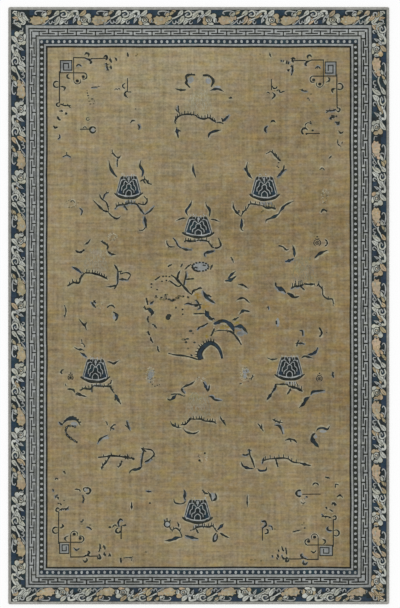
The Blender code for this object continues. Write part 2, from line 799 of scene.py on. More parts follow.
@dataclass
class VineRepeat:
    """One repeat of the scrolling vine, counted from its blossom in squares of the plan.

    The first number runs along the side anticlockwise, and the second outwards from the vine's inner edge.
    The blossom's outline, the petals and the stems were read off enlarged strips of the photograph.
    """

    length: float = 64.0
    blossom: Path = (
        (-10.8, 7.4), (-9.6, 5.2), (-8, 5.4), (-6.6, 3.4), (-4.8, 3.2), (-3.2, 1.4), (0.6, 1), (2.6, 0.2),
        (5, 0.8), (6.4, 2.4), (8.2, 3), (7, 5), (7.6, 7.2), (5.4, 7.4), (4.6, 9.4), (1.6, 8.4),
        (-1, 9.2), (-3.4, 7.6), (-5.4, 8.8), (-7.4, 7.6), (-9.4, 9.4),
    )
    petals: tuple[PetalRow, ...] = (
        PetalRow((-13.6, 13.2), (-9.2, 10), 2.5, 0.05, Wool.APRICOT, 0.1, False),
        PetalRow((-9, 11.6), (-4.2, 9.2), 2.6, -0.05, Wool.IVORY, 0.5, False),
        PetalRow((14.4, 14.6), (22, 8.8), 4.2, -0.08, Wool.IVORY, 0.7),
        PetalRow((20.6, 10.6), (28, 2), 3.3, 0.10, Wool.SILVER, 0.95),
        PetalRow((27, 11.2), (34.8, 5.2), 3.4, 0.06, Wool.IVORY, 0.75),
        PetalRow((26.2, 9.8), (28.8, 8), 1.9, 0, Wool.IVORY, 0.9, False),
        PetalRow((36.8, 7), (41.8, 0.6), 4.6, 0.06, Wool.IVORY, 0.8),
        PetalRow((41.4, 9), (47.2, 0.6), 4.4, -0.04, Wool.IVORY, 0.6),
        PetalRow((42, 14.2), (47.8, 9.8), 4.2, -0.06, Wool.IVORY, 0.65),
        PetalRow((49.4, 14.2), (55, 10.6), 2.8, 0.10, Wool.IVORY, 0.35),
        PetalRow((55.6, 4.4), (60, 0.8), 2.4, 0.10, Wool.IVORY, 0.45, False),
    )
    stems: tuple[StemRow, ...] = (
        StemRow(((-8.8, 12.6), (-5, 13.6), (-1, 14), (2.2, 13.2), (3, 11.4), (1.2, 10.6)), 1.2,
                Wool.SILVER, 0.9),
        StemRow(((-12, 5.6), (-9.2, 3.2), (-6.6, 1.4), (-4.6, 0.8)), 1, Wool.SILVER, 0.7),
        StemRow(((6.8, 2.6), (9.6, 3.4), (9.4, 6)), 0.9, Wool.SILVER, 0.7),
        StemRow(((23.2, 11.2), (22.8, 13.2), (26, 13.7), (30, 12.2), (32.8, 9.8)), 2.1, Wool.IVORY, 0.9, 1.4),
        StemRow(((30, 12.2), (35, 13.8), (38, 14)), 1, Wool.SILVER, 0.8),
        StemRow(((32.6, 7.4), (36, 6.2), (39.8, 4.6)), 1.2, Wool.IVORY, 0.9),
        StemRow(((33, 3.6), (33.6, 1.8), (35.6, 1.8), (36, 3.8), (34.2, 4.8)), 0.95, Wool.SILVER, 1),
        StemRow(((40.8, 12.8), (36.6, 14), (34, 11.2), (35.6, 8.6), (39.8, 8.8)), 1.5, Wool.IVORY, 0.8),
        StemRow(((39.6, 9.8), (38.6, 11.2), (37, 10.8)), 1, Wool.SILVER, 0.9, 0.9),
        StemRow(((44.4, 10.2), (47.6, 8.8), (51.4, 6.8), (54.4, 7.2), (57.6, 9)), 1.3, Wool.IVORY, 0.8),
        StemRow(((46.6, 5.6), (46.2, 3.6), (48.2, 2.8), (49.2, 4.6)), 0.9, Wool.SILVER, 0.9),
        StemRow(((49.6, 4.2), (49.8, 2), (52, 2), (52.4, 4.2)), 0.95, Wool.SILVER, 0.9),
        StemRow(((56, 14), (59, 12.4), (60, 10), (58.2, 8.8)), 1.1, Wool.SILVER, 0.8),
        StemRow(((22.8, 5.2), (25, 7)), 0.8, Wool.INK, 0.2),
    )
    # How many patches mottle the blossom, and where dark notches cut into its rim.
    mottles: int = 11
    notches: Path = ((-8.4, 4.4), (-1.6, 8.9), (7.4, 5.2))
    roundel_at: Point = (16.8, 5.3)
    roundel_radii: Point = (3.0, 2.7)
    lobes: tuple[Lobe, ...] = (
        Lobe((12.4, 8.8), (3, 2.4), -30), Lobe((10.8, 4.8), (1.9, 2.4)), Lobe((15.2, 1.5), (3.2, 1.4), 8),
        Lobe((21, 2.4), (2.4, 1.9), 40), Lobe((22, 6.6), (1.8, 2.3), -20), Lobe((17.4, 10.2), (2.7, 1.9), 12),
    )

    def draw(
        self, pen: Pen, stretch: float, blooms: bool, holds: Callable[[Point], bool], warmth: float,
        rng: random.Random,
    ) -> None:
        """Draws the repeat.

        Args:
            pen: The side's pen, with its zero at the blossom.
            stretch: How much longer than nominal this repeat is.
            blooms: Whether the blossom itself is drawn.
            holds: Says whether a spot on the rug lies on this side's own stretch.
            warmth: How much of the ivory is golden on this side, from 0 to 1.
            rng: The source of its small unevenness.
        """
        middle = (self.roundel_at[0] * stretch, self.roundel_at[1])
        if holds(pen.place(middle)):
            self.roundel(pen, middle, warmth, rng)
        for row in self.petals:
            middle = ((row.root[0] + row.tip[0]) / 2 * stretch, (row.root[1] + row.tip[1]) / 2)
            if not holds(pen.place(middle)):
                continue
            root = shaken((row.root[0] * stretch, row.root[1]), 0.4, 0.3, rng)
            tip = shaken((row.tip[0] * stretch, row.tip[1]), 0.5, 0.3, rng)
            wool, dye = self.tint(row.wool, row.dye, warmth, rng)
            petal(pen, root, tip, row.width * rng.uniform(0.92, 1.1), row.bend, wool, dye, row.vein)
        for row in self.stems:
            path = tuple((x * stretch, y + rng.uniform(-0.25, 0.25)) for x, y in row.path)
            if holds(pen.place(path[len(path) // 2])):
                stem(pen, path, row, row.dye + rng.uniform(-0.15, 0.1))
        if blooms:
            self.bloom(pen, warmth, rng)

    def tint(self, wool: Wool, dye: float, warmth: float, rng: random.Random) -> tuple[Wool, float]:
        """The wool and tone that one petal takes: some are olive or peach, more so on the warm sides.

        Args:
            wool: The wool that the table gives it.
            dye: The tone that the table gives it.
            warmth: How much of the ivory is golden on this side, from 0 to 1.
            rng: The source of the choice.

        Returns:
            The wool and the tone.
        """
        if wool is Wool.IVORY and rng.random() < 0.5 * warmth:
            return Wool.APRICOT, rng.uniform(0.3, 1.0)
        return wool, dye + rng.uniform(-0.2, 0.2)

    def bloom(self, pen: Pen, warmth: float, rng: random.Random) -> None:
        """Draws the ragged blossom that hangs from the vine's inner edge, mottled in three tones.

        Args:
            pen: The side's pen, with its zero at the blossom.
            warmth: How golden the side is, from 0 to 1.
            rng: The source of its unevenness.
        """
        outline = tuple(shaken(point, 0.4, 0.3, rng) for point in self.blossom)
        pen.fill(Wool.INK, swollen(outline, RIM_WIDTH), RIM_DYE)
        dye = clamped(warmth + rng.uniform(-0.25, 0.35))
        pen.fill(Wool.APRICOT, outline, dye)
        tones = ((Wool.APRICOT, 1 - dye), (Wool.IVORY, 0.25), (Wool.APRICOT, 0), (Wool.IVORY, 0))
        for _ in range(self.mottles):
            x = rng.uniform(-7, 5.6)
            y = 5.2 - 0.12 * x + rng.uniform(-3, 2.6)
            wool, tone = rng.choice(tones)
            pen.disc(wool, (x, y), (rng.uniform(0.5, 1.5), rng.uniform(0.4, 0.9)), tone, 7)
        for x, y in self.notches:
            pen.disc(Wool.INK, (x + rng.uniform(-0.6, 0.6), y), (0.6, 0.5), 0.3, 6)

    def roundel(self, pen: Pen, at: Point, warmth: float, rng: random.Random) -> None:
        """Draws the round flower: its ring of lobes and the coil in its middle.

        Args:
            pen: The side's pen, with its zero at the blossom.
            at: The flower's middle.
            warmth: How golden the side is, from 0 to 1.
            rng: The source of its unevenness.
        """
        for swell in (0.65, 0):
            for lobe in self.lobes:
                held = pen.held((lobe.at[0] - self.roundel_at[0] + at[0], lobe.at[1]), lobe.turn)
                radii = (lobe.radii[0] + swell, lobe.radii[1] + swell)
                if swell:
                    held.disc(Wool.INK, (0, 0), radii, RIM_DYE, 12)
                else:
                    wool, dye = self.tint(Wool.IVORY, rng.uniform(0.35, 0.9), warmth, rng)
                    held.disc(wool, (0, 0), radii, clamped(dye), 12)
        rx, ry = self.roundel_radii
        pen.disc(Wool.INK, at, (rx + 0.7, ry + 0.7), RIM_DYE, 12)
        pen.disc(Wool.IVORY, at, (rx, ry), rng.uniform(0.5, 0.9), 12)
        pen.arc(Wool.INK, at, 2.3, rng.uniform(0, 90), 500, 0.8, even, RIM_DYE, closing=0.7)
        pen.disc(Wool.APRICOT, at, (0.7, 0.6), 1, 6)


def shaken(point: Point, across: float, along: float, rng: random.Random) -> Point:
    """A point moved at random by up to two margins, one each way."""
    return (point[0] + rng.uniform(-across, across), point[1] + rng.uniform(-along, along))


def scattered(at: Point, radii: Point, least: float, rng: random.Random) -> Point:
    """A random spot inside an ellipse.

    Args:
        at: The ellipse's middle.
        radii: Its half width and half height.
        least: The share of its area round the middle that is left out.
        rng: The source of the spot.

    Returns:
        The spot.
    """
    angle, reach = rng.uniform(0, 2 * math.pi), rng.uniform(least, 1) ** 0.5
    return (at[0] + reach * radii[0] * math.cos(angle), at[1] + reach * radii[1] * math.sin(angle))


def swollen(points: Path, margin: float) -> Path:
    """An outline moved outwards from its own middle.

    Args:
        points: The outline's corners.
        margin: How far each moves. It may be negative.

    Returns:
        The new corners.
    """
    cx = sum(p[0] for p in points) / len(points)
    cy = sum(p[1] for p in points) / len(points)
    found = []
    for x, y in points:
        size = math.hypot(x - cx, y - cy) or 1.0
        found.append((x + (x - cx) / size * margin, y + (y - cy) / size * margin))
    return tuple(found)


def leaf_outline(root: Point, tip: Point, width: float, bend: float, parts: int = 6) -> tuple[Path, Path]:
    """The outline and the middle line of a pointed leaf.

    Args:
        root: Where it grows from.
        tip: Its point.
        width: Its greatest width.
        bend: How far it bows sideways, as a share of its length.
        parts: How many cells each of its halves has along it.

    Returns:
        The closed outline, and the middle line from root to tip.
    """
    dx, dy = tip[0] - root[0], tip[1] - root[1]
    middle, left, right = [], [], []
    size = math.hypot(dx, dy) or 1.0
    nx, ny = -dy / size, dx / size
    for i in range(parts + 1):
        t = i / parts
        bow = 4 * bend * size * t * (1 - t)
        x, y = root[0] + dx * t + nx * bow, root[1] + dy * t + ny * bow
        half = width / 2 * math.sin(math.pi * t ** 0.8) ** 0.75 if 0 < i < parts else 0.0
        middle.append((x, y))
        if 0 < i < parts:
            left.append((x + nx * half, y + ny * half))
            right.append((x - nx * half, y - ny * half))
    outline = (middle[0], *left, middle[-1], *reversed(right))
    return tuple(outline), tuple(middle)


def petal(
    pen: Pen, root: Point, tip: Point, width: float, bend: float, wool: Wool, dye: float, vein: bool
) -> None:
    """Draws a pale petal with its dark rim and vein.

    Args:
        pen: The pen.
        root: Where the petal grows from.
        tip: Its point.
        width: Its greatest width.
        bend: How far it bows sideways, as a share of its length.
        wool: Its wool.
        dye: Its tone.
        vein: Whether it has a vein.
    """
    outline, middle = leaf_outline(root, tip, width, bend)
    pen.fill(Wool.INK, swollen(outline, RIM_WIDTH), PETAL_RIM_DYE)
    pen.fill(wool, outline, clamped(dye))
    if vein:
        pen.ribbon(Wool.INK, middle[1:-1], VEIN_WIDTH, even, VEIN_DYE)


def stem(pen: Pen, path: Path, row: StemRow, dye: float) -> None:
    """Draws a pale stem on a dark bed, with a round head at its start if it has one.

    Args:
        pen: The pen.
        path: The places it passes through.
        row: Its row of the table, which gives the rest.
        dye: Its tone.
    """
    tone = clamped(dye)
    pen.line(Wool.INK, path, row.width + 2 * STEM_RIM, brushed, RIM_DYE)
    if row.head:
        pen.disc(Wool.INK, path[0], (row.head + HEAD_RIM, row.head + HEAD_RIM), RIM_DYE, 8)
        pen.disc(row.wool, path[0], (row.head, row.head), tone, 8)
    pen.line(row.wool, path, row.width, brushed, tone)


@dataclass
class VineBorder:
    """The wide border with its scrolling vine and hanging blossoms."""

    fit: BorderFit
    inner_depth: float = 127.5
    slack: float = 4.0
    repeat: VineRepeat = field(default_factory=VineRepeat)
    # The side, where its blossoms stand in squares of the plan, and how golden its petals are. The first
    # blossom of a side is hidden in the corner.
    blossoms: tuple[tuple[Side, tuple[float, ...], float], ...] = (
        (Side.TOP, (409.5, 348.5, 288, 226, 161, 99.5, 38), 0.45),
        (Side.RIGHT, (598, 535, 472, 409, 346, 287, 216, 149, 66), 0.85),
        (Side.BOTTOM, (-13, 47, 107, 168, 228, 292, 358), 0.50),
        (Side.LEFT, (20, 91, 161, 224, 288, 354, 418, 482, 549), 0.20),
    )
    # The brighter patches of the ground of one repeat, and their tone.
    patches: tuple[Path, ...] = (
        ((3.6, 10), (9, 9.6), (9, 14.8), (3, 14.8)),
        ((9, 11.6), (14.6, 11.4), (14, 14.8), (9.4, 14.8)),
        ((27, 0.8), (32.6, 1.4), (32.2, 5.4), (27.8, 4.6)),
        ((36, 10.4), (38.6, 10.2), (38.8, 13.2), (36, 13.2)),
        ((53, 0.4), (58, 0.4), (57, 5), (53.6, 5.4)),
    )
    patch_dye: float = 0.6
    # The leaves and hooks of a corner, in squares from the vine's inner corner outwards.
    corner_petals: tuple[PetalRow, ...] = (
        PetalRow((1, 1), (12.8, 12.4), 4.6, 0.10, Wool.IVORY, 0.7),
        PetalRow((4.6, -2.5), (13.6, 1.8), 3.6, 0.18, Wool.IVORY, 0.5),
        PetalRow((-2.5, 4.6), (2.4, 13.4), 3.8, -0.18, Wool.IVORY, 0.6),
        PetalRow((7.6, 5), (13.8, 7.6), 3, 0.15, Wool.APRICOT, 0.7),
        PetalRow((4.6, 8.2), (7.4, 13.8), 3, -0.15, Wool.IVORY, 0.4),
    )
    corner_stems: tuple[StemRow, ...] = (
        StemRow(((9.4, 1.6), (11.6, 2.2), (11.6, 5), (9.2, 5.2)), 1.3, Wool.SILVER, 0.8, 0.9),
        StemRow(((2, 9.8), (2.4, 12.2), (5.2, 12.4), (5.6, 9.8)), 1.3, Wool.SILVER, 0.8, 0.9),
        StemRow(((4.6, 1.4), (1.8, 1.2), (0.8, 3.6), (2.8, 5.2)), 1.4, Wool.IVORY, 0.8, 0.9),
        StemRow(((9.6, 13.4), (12, 13.8), (13.4, 11.8)), 1.3, Wool.IVORY, 0.8, 0.9),
    )

    def draw(self, plan: KnotPlan, rng: random.Random) -> None:
        """Draws the vine of all four sides and its corner sprays.

        Args:
            plan: The plan to draw on.
            rng: The source of its small unevenness.
        """
        (left, low), (right, high) = self.fit.ring(self.inner_depth)
        for side, places, warmth in self.blossoms:
            if side.upright:
                def holds(spot: Point) -> bool:
                    """Whether a spot lies between the corners of an upright side."""
                    return low - self.slack < spot[1] < high + self.slack
            else:
                def holds(spot: Point) -> bool:
                    """Whether a spot lies between the corners of a level side."""
                    return left - self.slack < spot[0] < right + self.slack
            for i, place in enumerate(places):
                following = places[i + 1] if i + 1 < len(places) else place + (places[1] - places[0])
                stretch = abs(following - place) / self.repeat.length
                spot = on_rug((place, place))
                pen = self.fit.pen(plan, side, self.inner_depth, spot[1] if side.upright else spot[0])
                self.ground(pen, stretch, holds)
                self.repeat.draw(pen, stretch, i > 0, holds, warmth, rng)
        self.corners(plan, rng)

    def ground(self, pen: Pen, stretch: float, holds: Callable[[Point], bool]) -> None:
        """Draws the brighter indigo patches between the scrolls.

        Args:
            pen: The side's pen, with its zero at a blossom.
            stretch: How much longer than nominal this repeat is.
            holds: Says whether a spot on the rug lies on this side's own stretch.
        """
        for patch in self.patches:
            stretched = [(s * stretch, t) for s, t in patch]
            if holds(pen.place(stretched[0])) and holds(pen.place(stretched[2])):
                pen.fill(Wool.NAVY, stretched, self.patch_dye)

    def corners(self, plan: KnotPlan, rng: random.Random) -> None:
        """Draws a spray of leaves and hooks in each corner of the vine.

        Args:
            plan: The plan to draw on.
            rng: The source of the leaves' wools.
        """
        (left, low), (right_edge, high) = self.fit.ring(self.inner_depth)
        # The corner's place, which way it points across and along, and how golden its leaves are.
        corners = (
            (left, high, -1, 1, 0), (right_edge, high, 1, 1, 0.6),
            (left, low, -1, -1, 0.3), (right_edge, low, 1, -1, 0.45),
        )
        for x, y, right, up, warmth in corners:
            pen = Pen(plan, (x, y), (right * PLAN_SQUARE, 0), (0, up * PLAN_SQUARE), BORDER_STEP)
            for row in self.corner_petals:
                wool = Wool.APRICOT if rng.random() < warmth else row.wool
                petal(pen, row.root, row.tip, row.width, row.bend, wool, row.dye, True)
            for row in self.corner_stems:
                stem(pen, row.path, row, row.dye)


def bloom_beside(pen: Pen, curve: Path, width: float, rng: random.Random) -> None:
    """Draws the bloom that the dye has left in the wool on one side of a dark line.

    Args:
        pen: The pen.
        curve: The line's own curve.
        width: The line's width.
        rng: The source of the bloom's colour and place.
    """
    dx, dy = rng.uniform(-0.9, 0.9), rng.uniform(-0.6, 1)
    shifted = tuple((x + dx, y + dy) for x, y in curve)
    if rng.random() < LILAC_SHARE:
        pen.below().ribbon(Wool.SILVER, shifted, width + 1.2, uneven(brushed, rng), rng.uniform(0, 0.25))
    else:
        pen.below().ribbon(Wool.FADED, shifted, width + 1.7, uneven(brushed, rng), rng.uniform(0.7, 0.95))


class Motif:
    """Something on the field. Its places and sizes are in squares of the plan."""

    def draw(self, pen: Pen, rng: random.Random) -> None:
        """Draws the motif, as each kind of motif says for itself.

        Args:
            pen: The pen, which counts squares of the plan.
            rng: The source of its small unevenness.
        """
        raise NotImplementedError


@dataclass(frozen=True)
class Twig(Motif):
    """A dark knobbly stem through a few places, with short thorns on its upper side if it has any."""

    path: Path
    width: float = 0.95
    thorns: int = 0
    reach: float = 2.6

    def draw(self, pen: Pen, rng: random.Random) -> None:
        """Draws the bloom beside it, its pale specks and knobs, its thorns and the stem."""
        dye = rng.uniform(0, 0.5)
        curve = smooth(self.path, pen.step)
        bloom_beside(pen, curve, self.width, rng)
        self.roughen(pen, curve, dye, rng)
        for i in range(self.thorns):
            x, y = curve[round((i + 0.7) / (self.thorns + 0.4) * (len(curve) - 1))]
            tip = (x + rng.uniform(-0.6, 0.6), y - self.width / 2 - self.reach * rng.uniform(0.5, 1.1))
            pen.below().ribbon(Wool.FADED, ((x, y), tip), 2.2, even, GHOST_DYE)
            pen.ribbon(Wool.INK, ((x, y), tip), 1, even, dye)
        width = self.width if self.thorns > FEW_THORNS else self.width + 0.2
        pen.ribbon(Wool.INK, curve, width, uneven(brushed, rng), dye)

    def roughen(self, pen: Pen, curve: Path, dye: float, rng: random.Random) -> None:
        """Draws pale specks round the stem and now and then a stray knot that sticks out of it.

        Args:
            pen: The pen.
            curve: The stem's curve.
            dye: The stem's tone.
            rng: The source of their places.
        """
        for x, y in curve[1:-1:4]:
            spot = shaken((x, y), 2, 2, rng)
            size = (rng.uniform(0.4, 0.8), rng.uniform(0.3, 0.6))
            pen.below().disc(Wool.FADED, spot, size, rng.uniform(0.75, 1), 6)
            if rng.random() < 0.3:
                turn = rng.uniform(0, 2 * math.pi)
                tip = (x + 1.8 * math.cos(turn), y + 1.8 * math.sin(turn))
                pen.ribbon(Wool.INK, ((x, y), tip), 0.8, even, dye)


@dataclass(frozen=True)
class Blade(Motif):
    """A dark leaf along a path, widest at a share of its length, with indigo in its thick part."""

    path: Path
    width: float = 2.6
    thick: float = 0.4

    def draw(self, pen: Pen, rng: random.Random) -> None:
        """Draws the bloom beside it, the dark leaf and, in a thick one, its indigo."""
        curve = smooth(self.path, pen.step)
        bloom_beside(pen, curve, self.width * 0.8, rng)
        pen.ribbon(Wool.INK, curve, self.width, uneven(widest(self.thick), rng), rng.uniform(0.1, 0.5))
        last = len(curve) - 1
        inner = curve[max(round((self.thick - 0.3) * last), 1): round((self.thick + 0.3) * last)]
        if self.width > THIN_BLADE:
            pen.ribbon(Wool.NAVY, inner, self.width - 2 * BLADE_RIM, brushed, rng.uniform(0, 0.5))


@dataclass(frozen=True)
class Leaf(Motif):
    """A slender leaf from its root to its tip, bowed to one side."""

    root: Point
    tip: Point
    width: float = 2.2
    bend: float = 0.12

    def draw(self, pen: Pen, rng: random.Random) -> None:
        """Draws it as a blade through three places."""
        dx, dy = self.tip[0] - self.root[0], self.tip[1] - self.root[1]
        bow = (self.root[0] + dx * 0.45 - dy * self.bend, self.root[1] + dy * 0.45 + dx * self.bend)
        Blade((self.root, bow, self.tip), self.width + 0.3).draw(pen, rng)


@dataclass(frozen=True)
class Curl(Motif):
    """A dark arc or spiral. Angles run from the right downwards, in degrees."""

    at: Point
    radius: float
    start: float
    sweep: float
    width: float = 1.0
    closing: float = 0.0
    eye: bool = False

    def draw(self, pen: Pen, rng: random.Random) -> None:
        """Draws the arc, and a dark blob in its middle if it has an eye."""
        dye = rng.uniform(0.0, 0.3)
        arc = (self.at, self.radius, self.start, self.sweep)
        pen.below().arc(Wool.FADED, *arc, self.width + 1.6, even, 0.85, self.closing)
        pen.arc(Wool.INK, *arc, self.width, uneven(brushed, rng), dye, self.closing)
        if self.eye:
            pen.disc(Wool.INK, (self.at[0] - 0.5, self.at[1] + 0.4), (1.7, 1.6), dye, 9)


@dataclass(frozen=True)
class Bloom(Motif):
    """A patch of wool beside or inside a motif that has taken a lilac bloom."""

    at: Point
    radii: Point
    dye: float = 0.35

    def draw(self, pen: Pen, rng: random.Random) -> None:
        """Draws it as a few uneven discs over one another."""
        for _ in range(3):
            dx, dy = rng.uniform(-0.3, 0.3) * self.radii[0], rng.uniform(-0.3, 0.3) * self.radii[1]
            spot = (self.at[0] + dx, self.at[1] + dy)
            size = (self.radii[0] * rng.uniform(0.7, 0.95), self.radii[1] * rng.uniform(0.7, 0.95))
            pen.disc(Wool.SILVER, spot, size, self.dye + rng.uniform(-0.12, 0.12), 9)


@dataclass(frozen=True)
class Beads(Motif):
    """A chain of small dark rings along a path, each with a pale middle."""

    path: Path
    width: float = 2.4

    def draw(self, pen: Pen, rng: random.Random) -> None:
        """Draws the rings one after another."""
        curve = smooth(self.path, self.width * 0.9)
        for x, y in curve:
            size = self.width * rng.uniform(0.5, 0.64)
            pen.disc(Wool.INK, (x, y), (size, size), rng.uniform(0.0, 0.4), 9)
        for x, y in curve[::2]:
            pen.disc(Wool.SILVER, (x, y), (self.width * 0.22, self.width * 0.22), 0.3, 6)


@dataclass(frozen=True)
class Dots(Motif):
    """A few small dark buds."""

    places: Path
    size: float = 0.85

    def draw(self, pen: Pen, rng: random.Random) -> None:
        """Draws each bud as a small uneven disc."""
        for place in self.places:
            radii = (self.size * rng.uniform(0.8, 1.3), self.size * rng.uniform(0.8, 1.2))
            pen.disc(Wool.INK, place, radii, rng.uniform(0.1, 0.5), 7)


@dataclass(frozen=True)
class Ruled(Motif):
    """Straight strokes with square corners."""

    path: Path
    width: float = 1.05

    def draw(self, pen: Pen, rng: random.Random) -> None:
        """Draws the strokes."""
        pen.ruled(Wool.INK, self.path, self.width + 0.1, rng.uniform(0.0, 0.3))


@dataclass(frozen=True)
class FlowerRing(Motif):
    """A small open flower seen from the front: a ring of dots round a pale middle with a few stamens."""

    at: Point
    radii: Point
    dots: int = 9

    def draw(self, pen: Pen, rng: random.Random) -> None:
        """Draws the pale middle, the dark crescent of its near side and its ring of dots."""
        x, y = self.at
        rx, ry = self.radii
        pen.disc(Wool.SILVER, self.at, (rx * 1.12, ry * 1.15), 0.35, 14)
        near = ((x - rx, y - 0.5 * ry), (x - 0.86 * rx, y + 0.55 * ry), (x - 0.4 * rx, y + ry), (x, y + ry))
        pen.line(Wool.INK, near, 1.8, brushed, 0.0)
        for i in range(self.dots):
            angle = 2 * math.pi * i / self.dots
            spot = (x + rx * math.cos(angle), y + ry * math.sin(angle))
            pen.disc(Wool.INK, spot, (1.25, 0.95), rng.uniform(0.0, 0.4), 7)
        for share in (-0.75, -0.45, -0.6, 0.35, 0.55):
            spot = (x + share * rx, y + rng.uniform(-0.4, 0.3) * ry)
            pen.disc(Wool.INK, spot, (1.0, 0.8), rng.uniform(0.0, 0.3), 6)


@dataclass(frozen=True)
class Stain(Motif):
    """A worn or rubbed patch of another tone in the field."""

    at: Point
    radii: Point
    tone: float

    def draw(self, pen: Pen, rng: random.Random) -> None:
        """Draws the patch as short dashes along the weft."""
        for _ in range(round(self.radii[0] * self.radii[1] * 1.1) + 4):
            spot = scattered(self.at, self.radii, 0, rng)
            tone = clamped(self.tone + rng.uniform(-0.15, 0.15))
            pen.disc(Wool.OCHRE, spot, (rng.uniform(0.7, 1.9), rng.uniform(0.3, 0.6)), tone, 6)


@dataclass(frozen=True)
class Crumbs(Motif):
    """A few left-over brown knots of a motif that has worn away."""

    places: Path
    size: float = 1.0

    def draw(self, pen: Pen, rng: random.Random) -> None:
        """Draws each as a small uneven patch."""
        for place in self.places:
            radii = (self.size * rng.uniform(0.9, 1.9), self.size * rng.uniform(0.7, 1.2))
            wool = rng.choice((Wool.FADED, Wool.FADED, Wool.INK))
            pen.disc(wool, place, radii, rng.uniform(0.0, 0.1) if wool is Wool.FADED else 1.0, 7)


@dataclass(frozen=True)
class Moth(Motif):
    """A small winged figure: a dotted ring between two arcs, with a bud and feelers over it."""

    at: Point
    size: float = 3.2

    def draw(self, pen: Pen, rng: random.Random) -> None:
        """Draws the two arcs, the ring, the dots and the feelers."""
        held = pen.held(self.at)
        for start in (115, -65):
            held.arc(Wool.INK, (0, 0), self.size, start, 130, 1, uneven(brushed, rng), 0.2)
        held.arc(Wool.INK, (0, 0), self.size * 0.5, 0, 340, 0.75, even, 0.4)
        for spot in ((0, 0), (0, -self.size * 1.8)):
            held.disc(Wool.INK, spot, (0.9, 0.8), 0.2, 7)
        feelers = ((-2.2, -self.size - 1), (0, -self.size), (2.2, -self.size - 1))
        held.line(Wool.INK, feelers, 0.9, brushed, 0.3)


# The right half of a mound, from the foot upwards, in squares from the middle of its foot; up is less. It
# and the waves were read off the photograph's mounds.
MOUND_SIDE: Path = (
    (10.9, -1.4), (12.2, -3.4), (11.2, -7), (10.2, -10.8), (9.2, -14.4), (8.4, -17.6), (7.5, -19.8),
)
MOUND_SAUCER: Path = (
    (-15, -3.2), (-11.4, -0.6), (-5.6, 1.5), (0, 2.2), (5.6, 1.7), (10.6, -0.2), (15, -3.4),
)
MOUND_WAVES: tuple[Path, ...] = (
    ((2.9, -0.6), (2.9, -3.6), (1.6, -5.6), (0, -6.6)),
    ((5.5, -3.4), (5.5, -5.4), (4.7, -6.9), (3.1, -7.8), (2.2, -9.2), (2.3, -11), (1.5, -12.3), (0, -12.9)),
    ((7.4, -5.9), (7.4, -8.7), (6.6, -10.4), (5.3, -11.6), (5, -13.6), (4.3, -15.4), (2.7, -15.6),
     (1.6, -14), (0, -12.9)),
    ((7.9, -15.6), (6.8, -17.2), (5, -17.6), (3.4, -16.9)),
)


# Each pair of buds in a mound's crown: how far from its middle, and where they start and end.
MOUND_BUDS: tuple[tuple[float, float, float], ...] = ((6.6, -18, -21), (3.8, -17.6, -20.4), (1.9, -16.8, -19))
MOUND_FOOT: Path = ((-11.6, -2.8), (-6, -0.8), (0, 0), (6, -0.6), (11.6, -2.8))


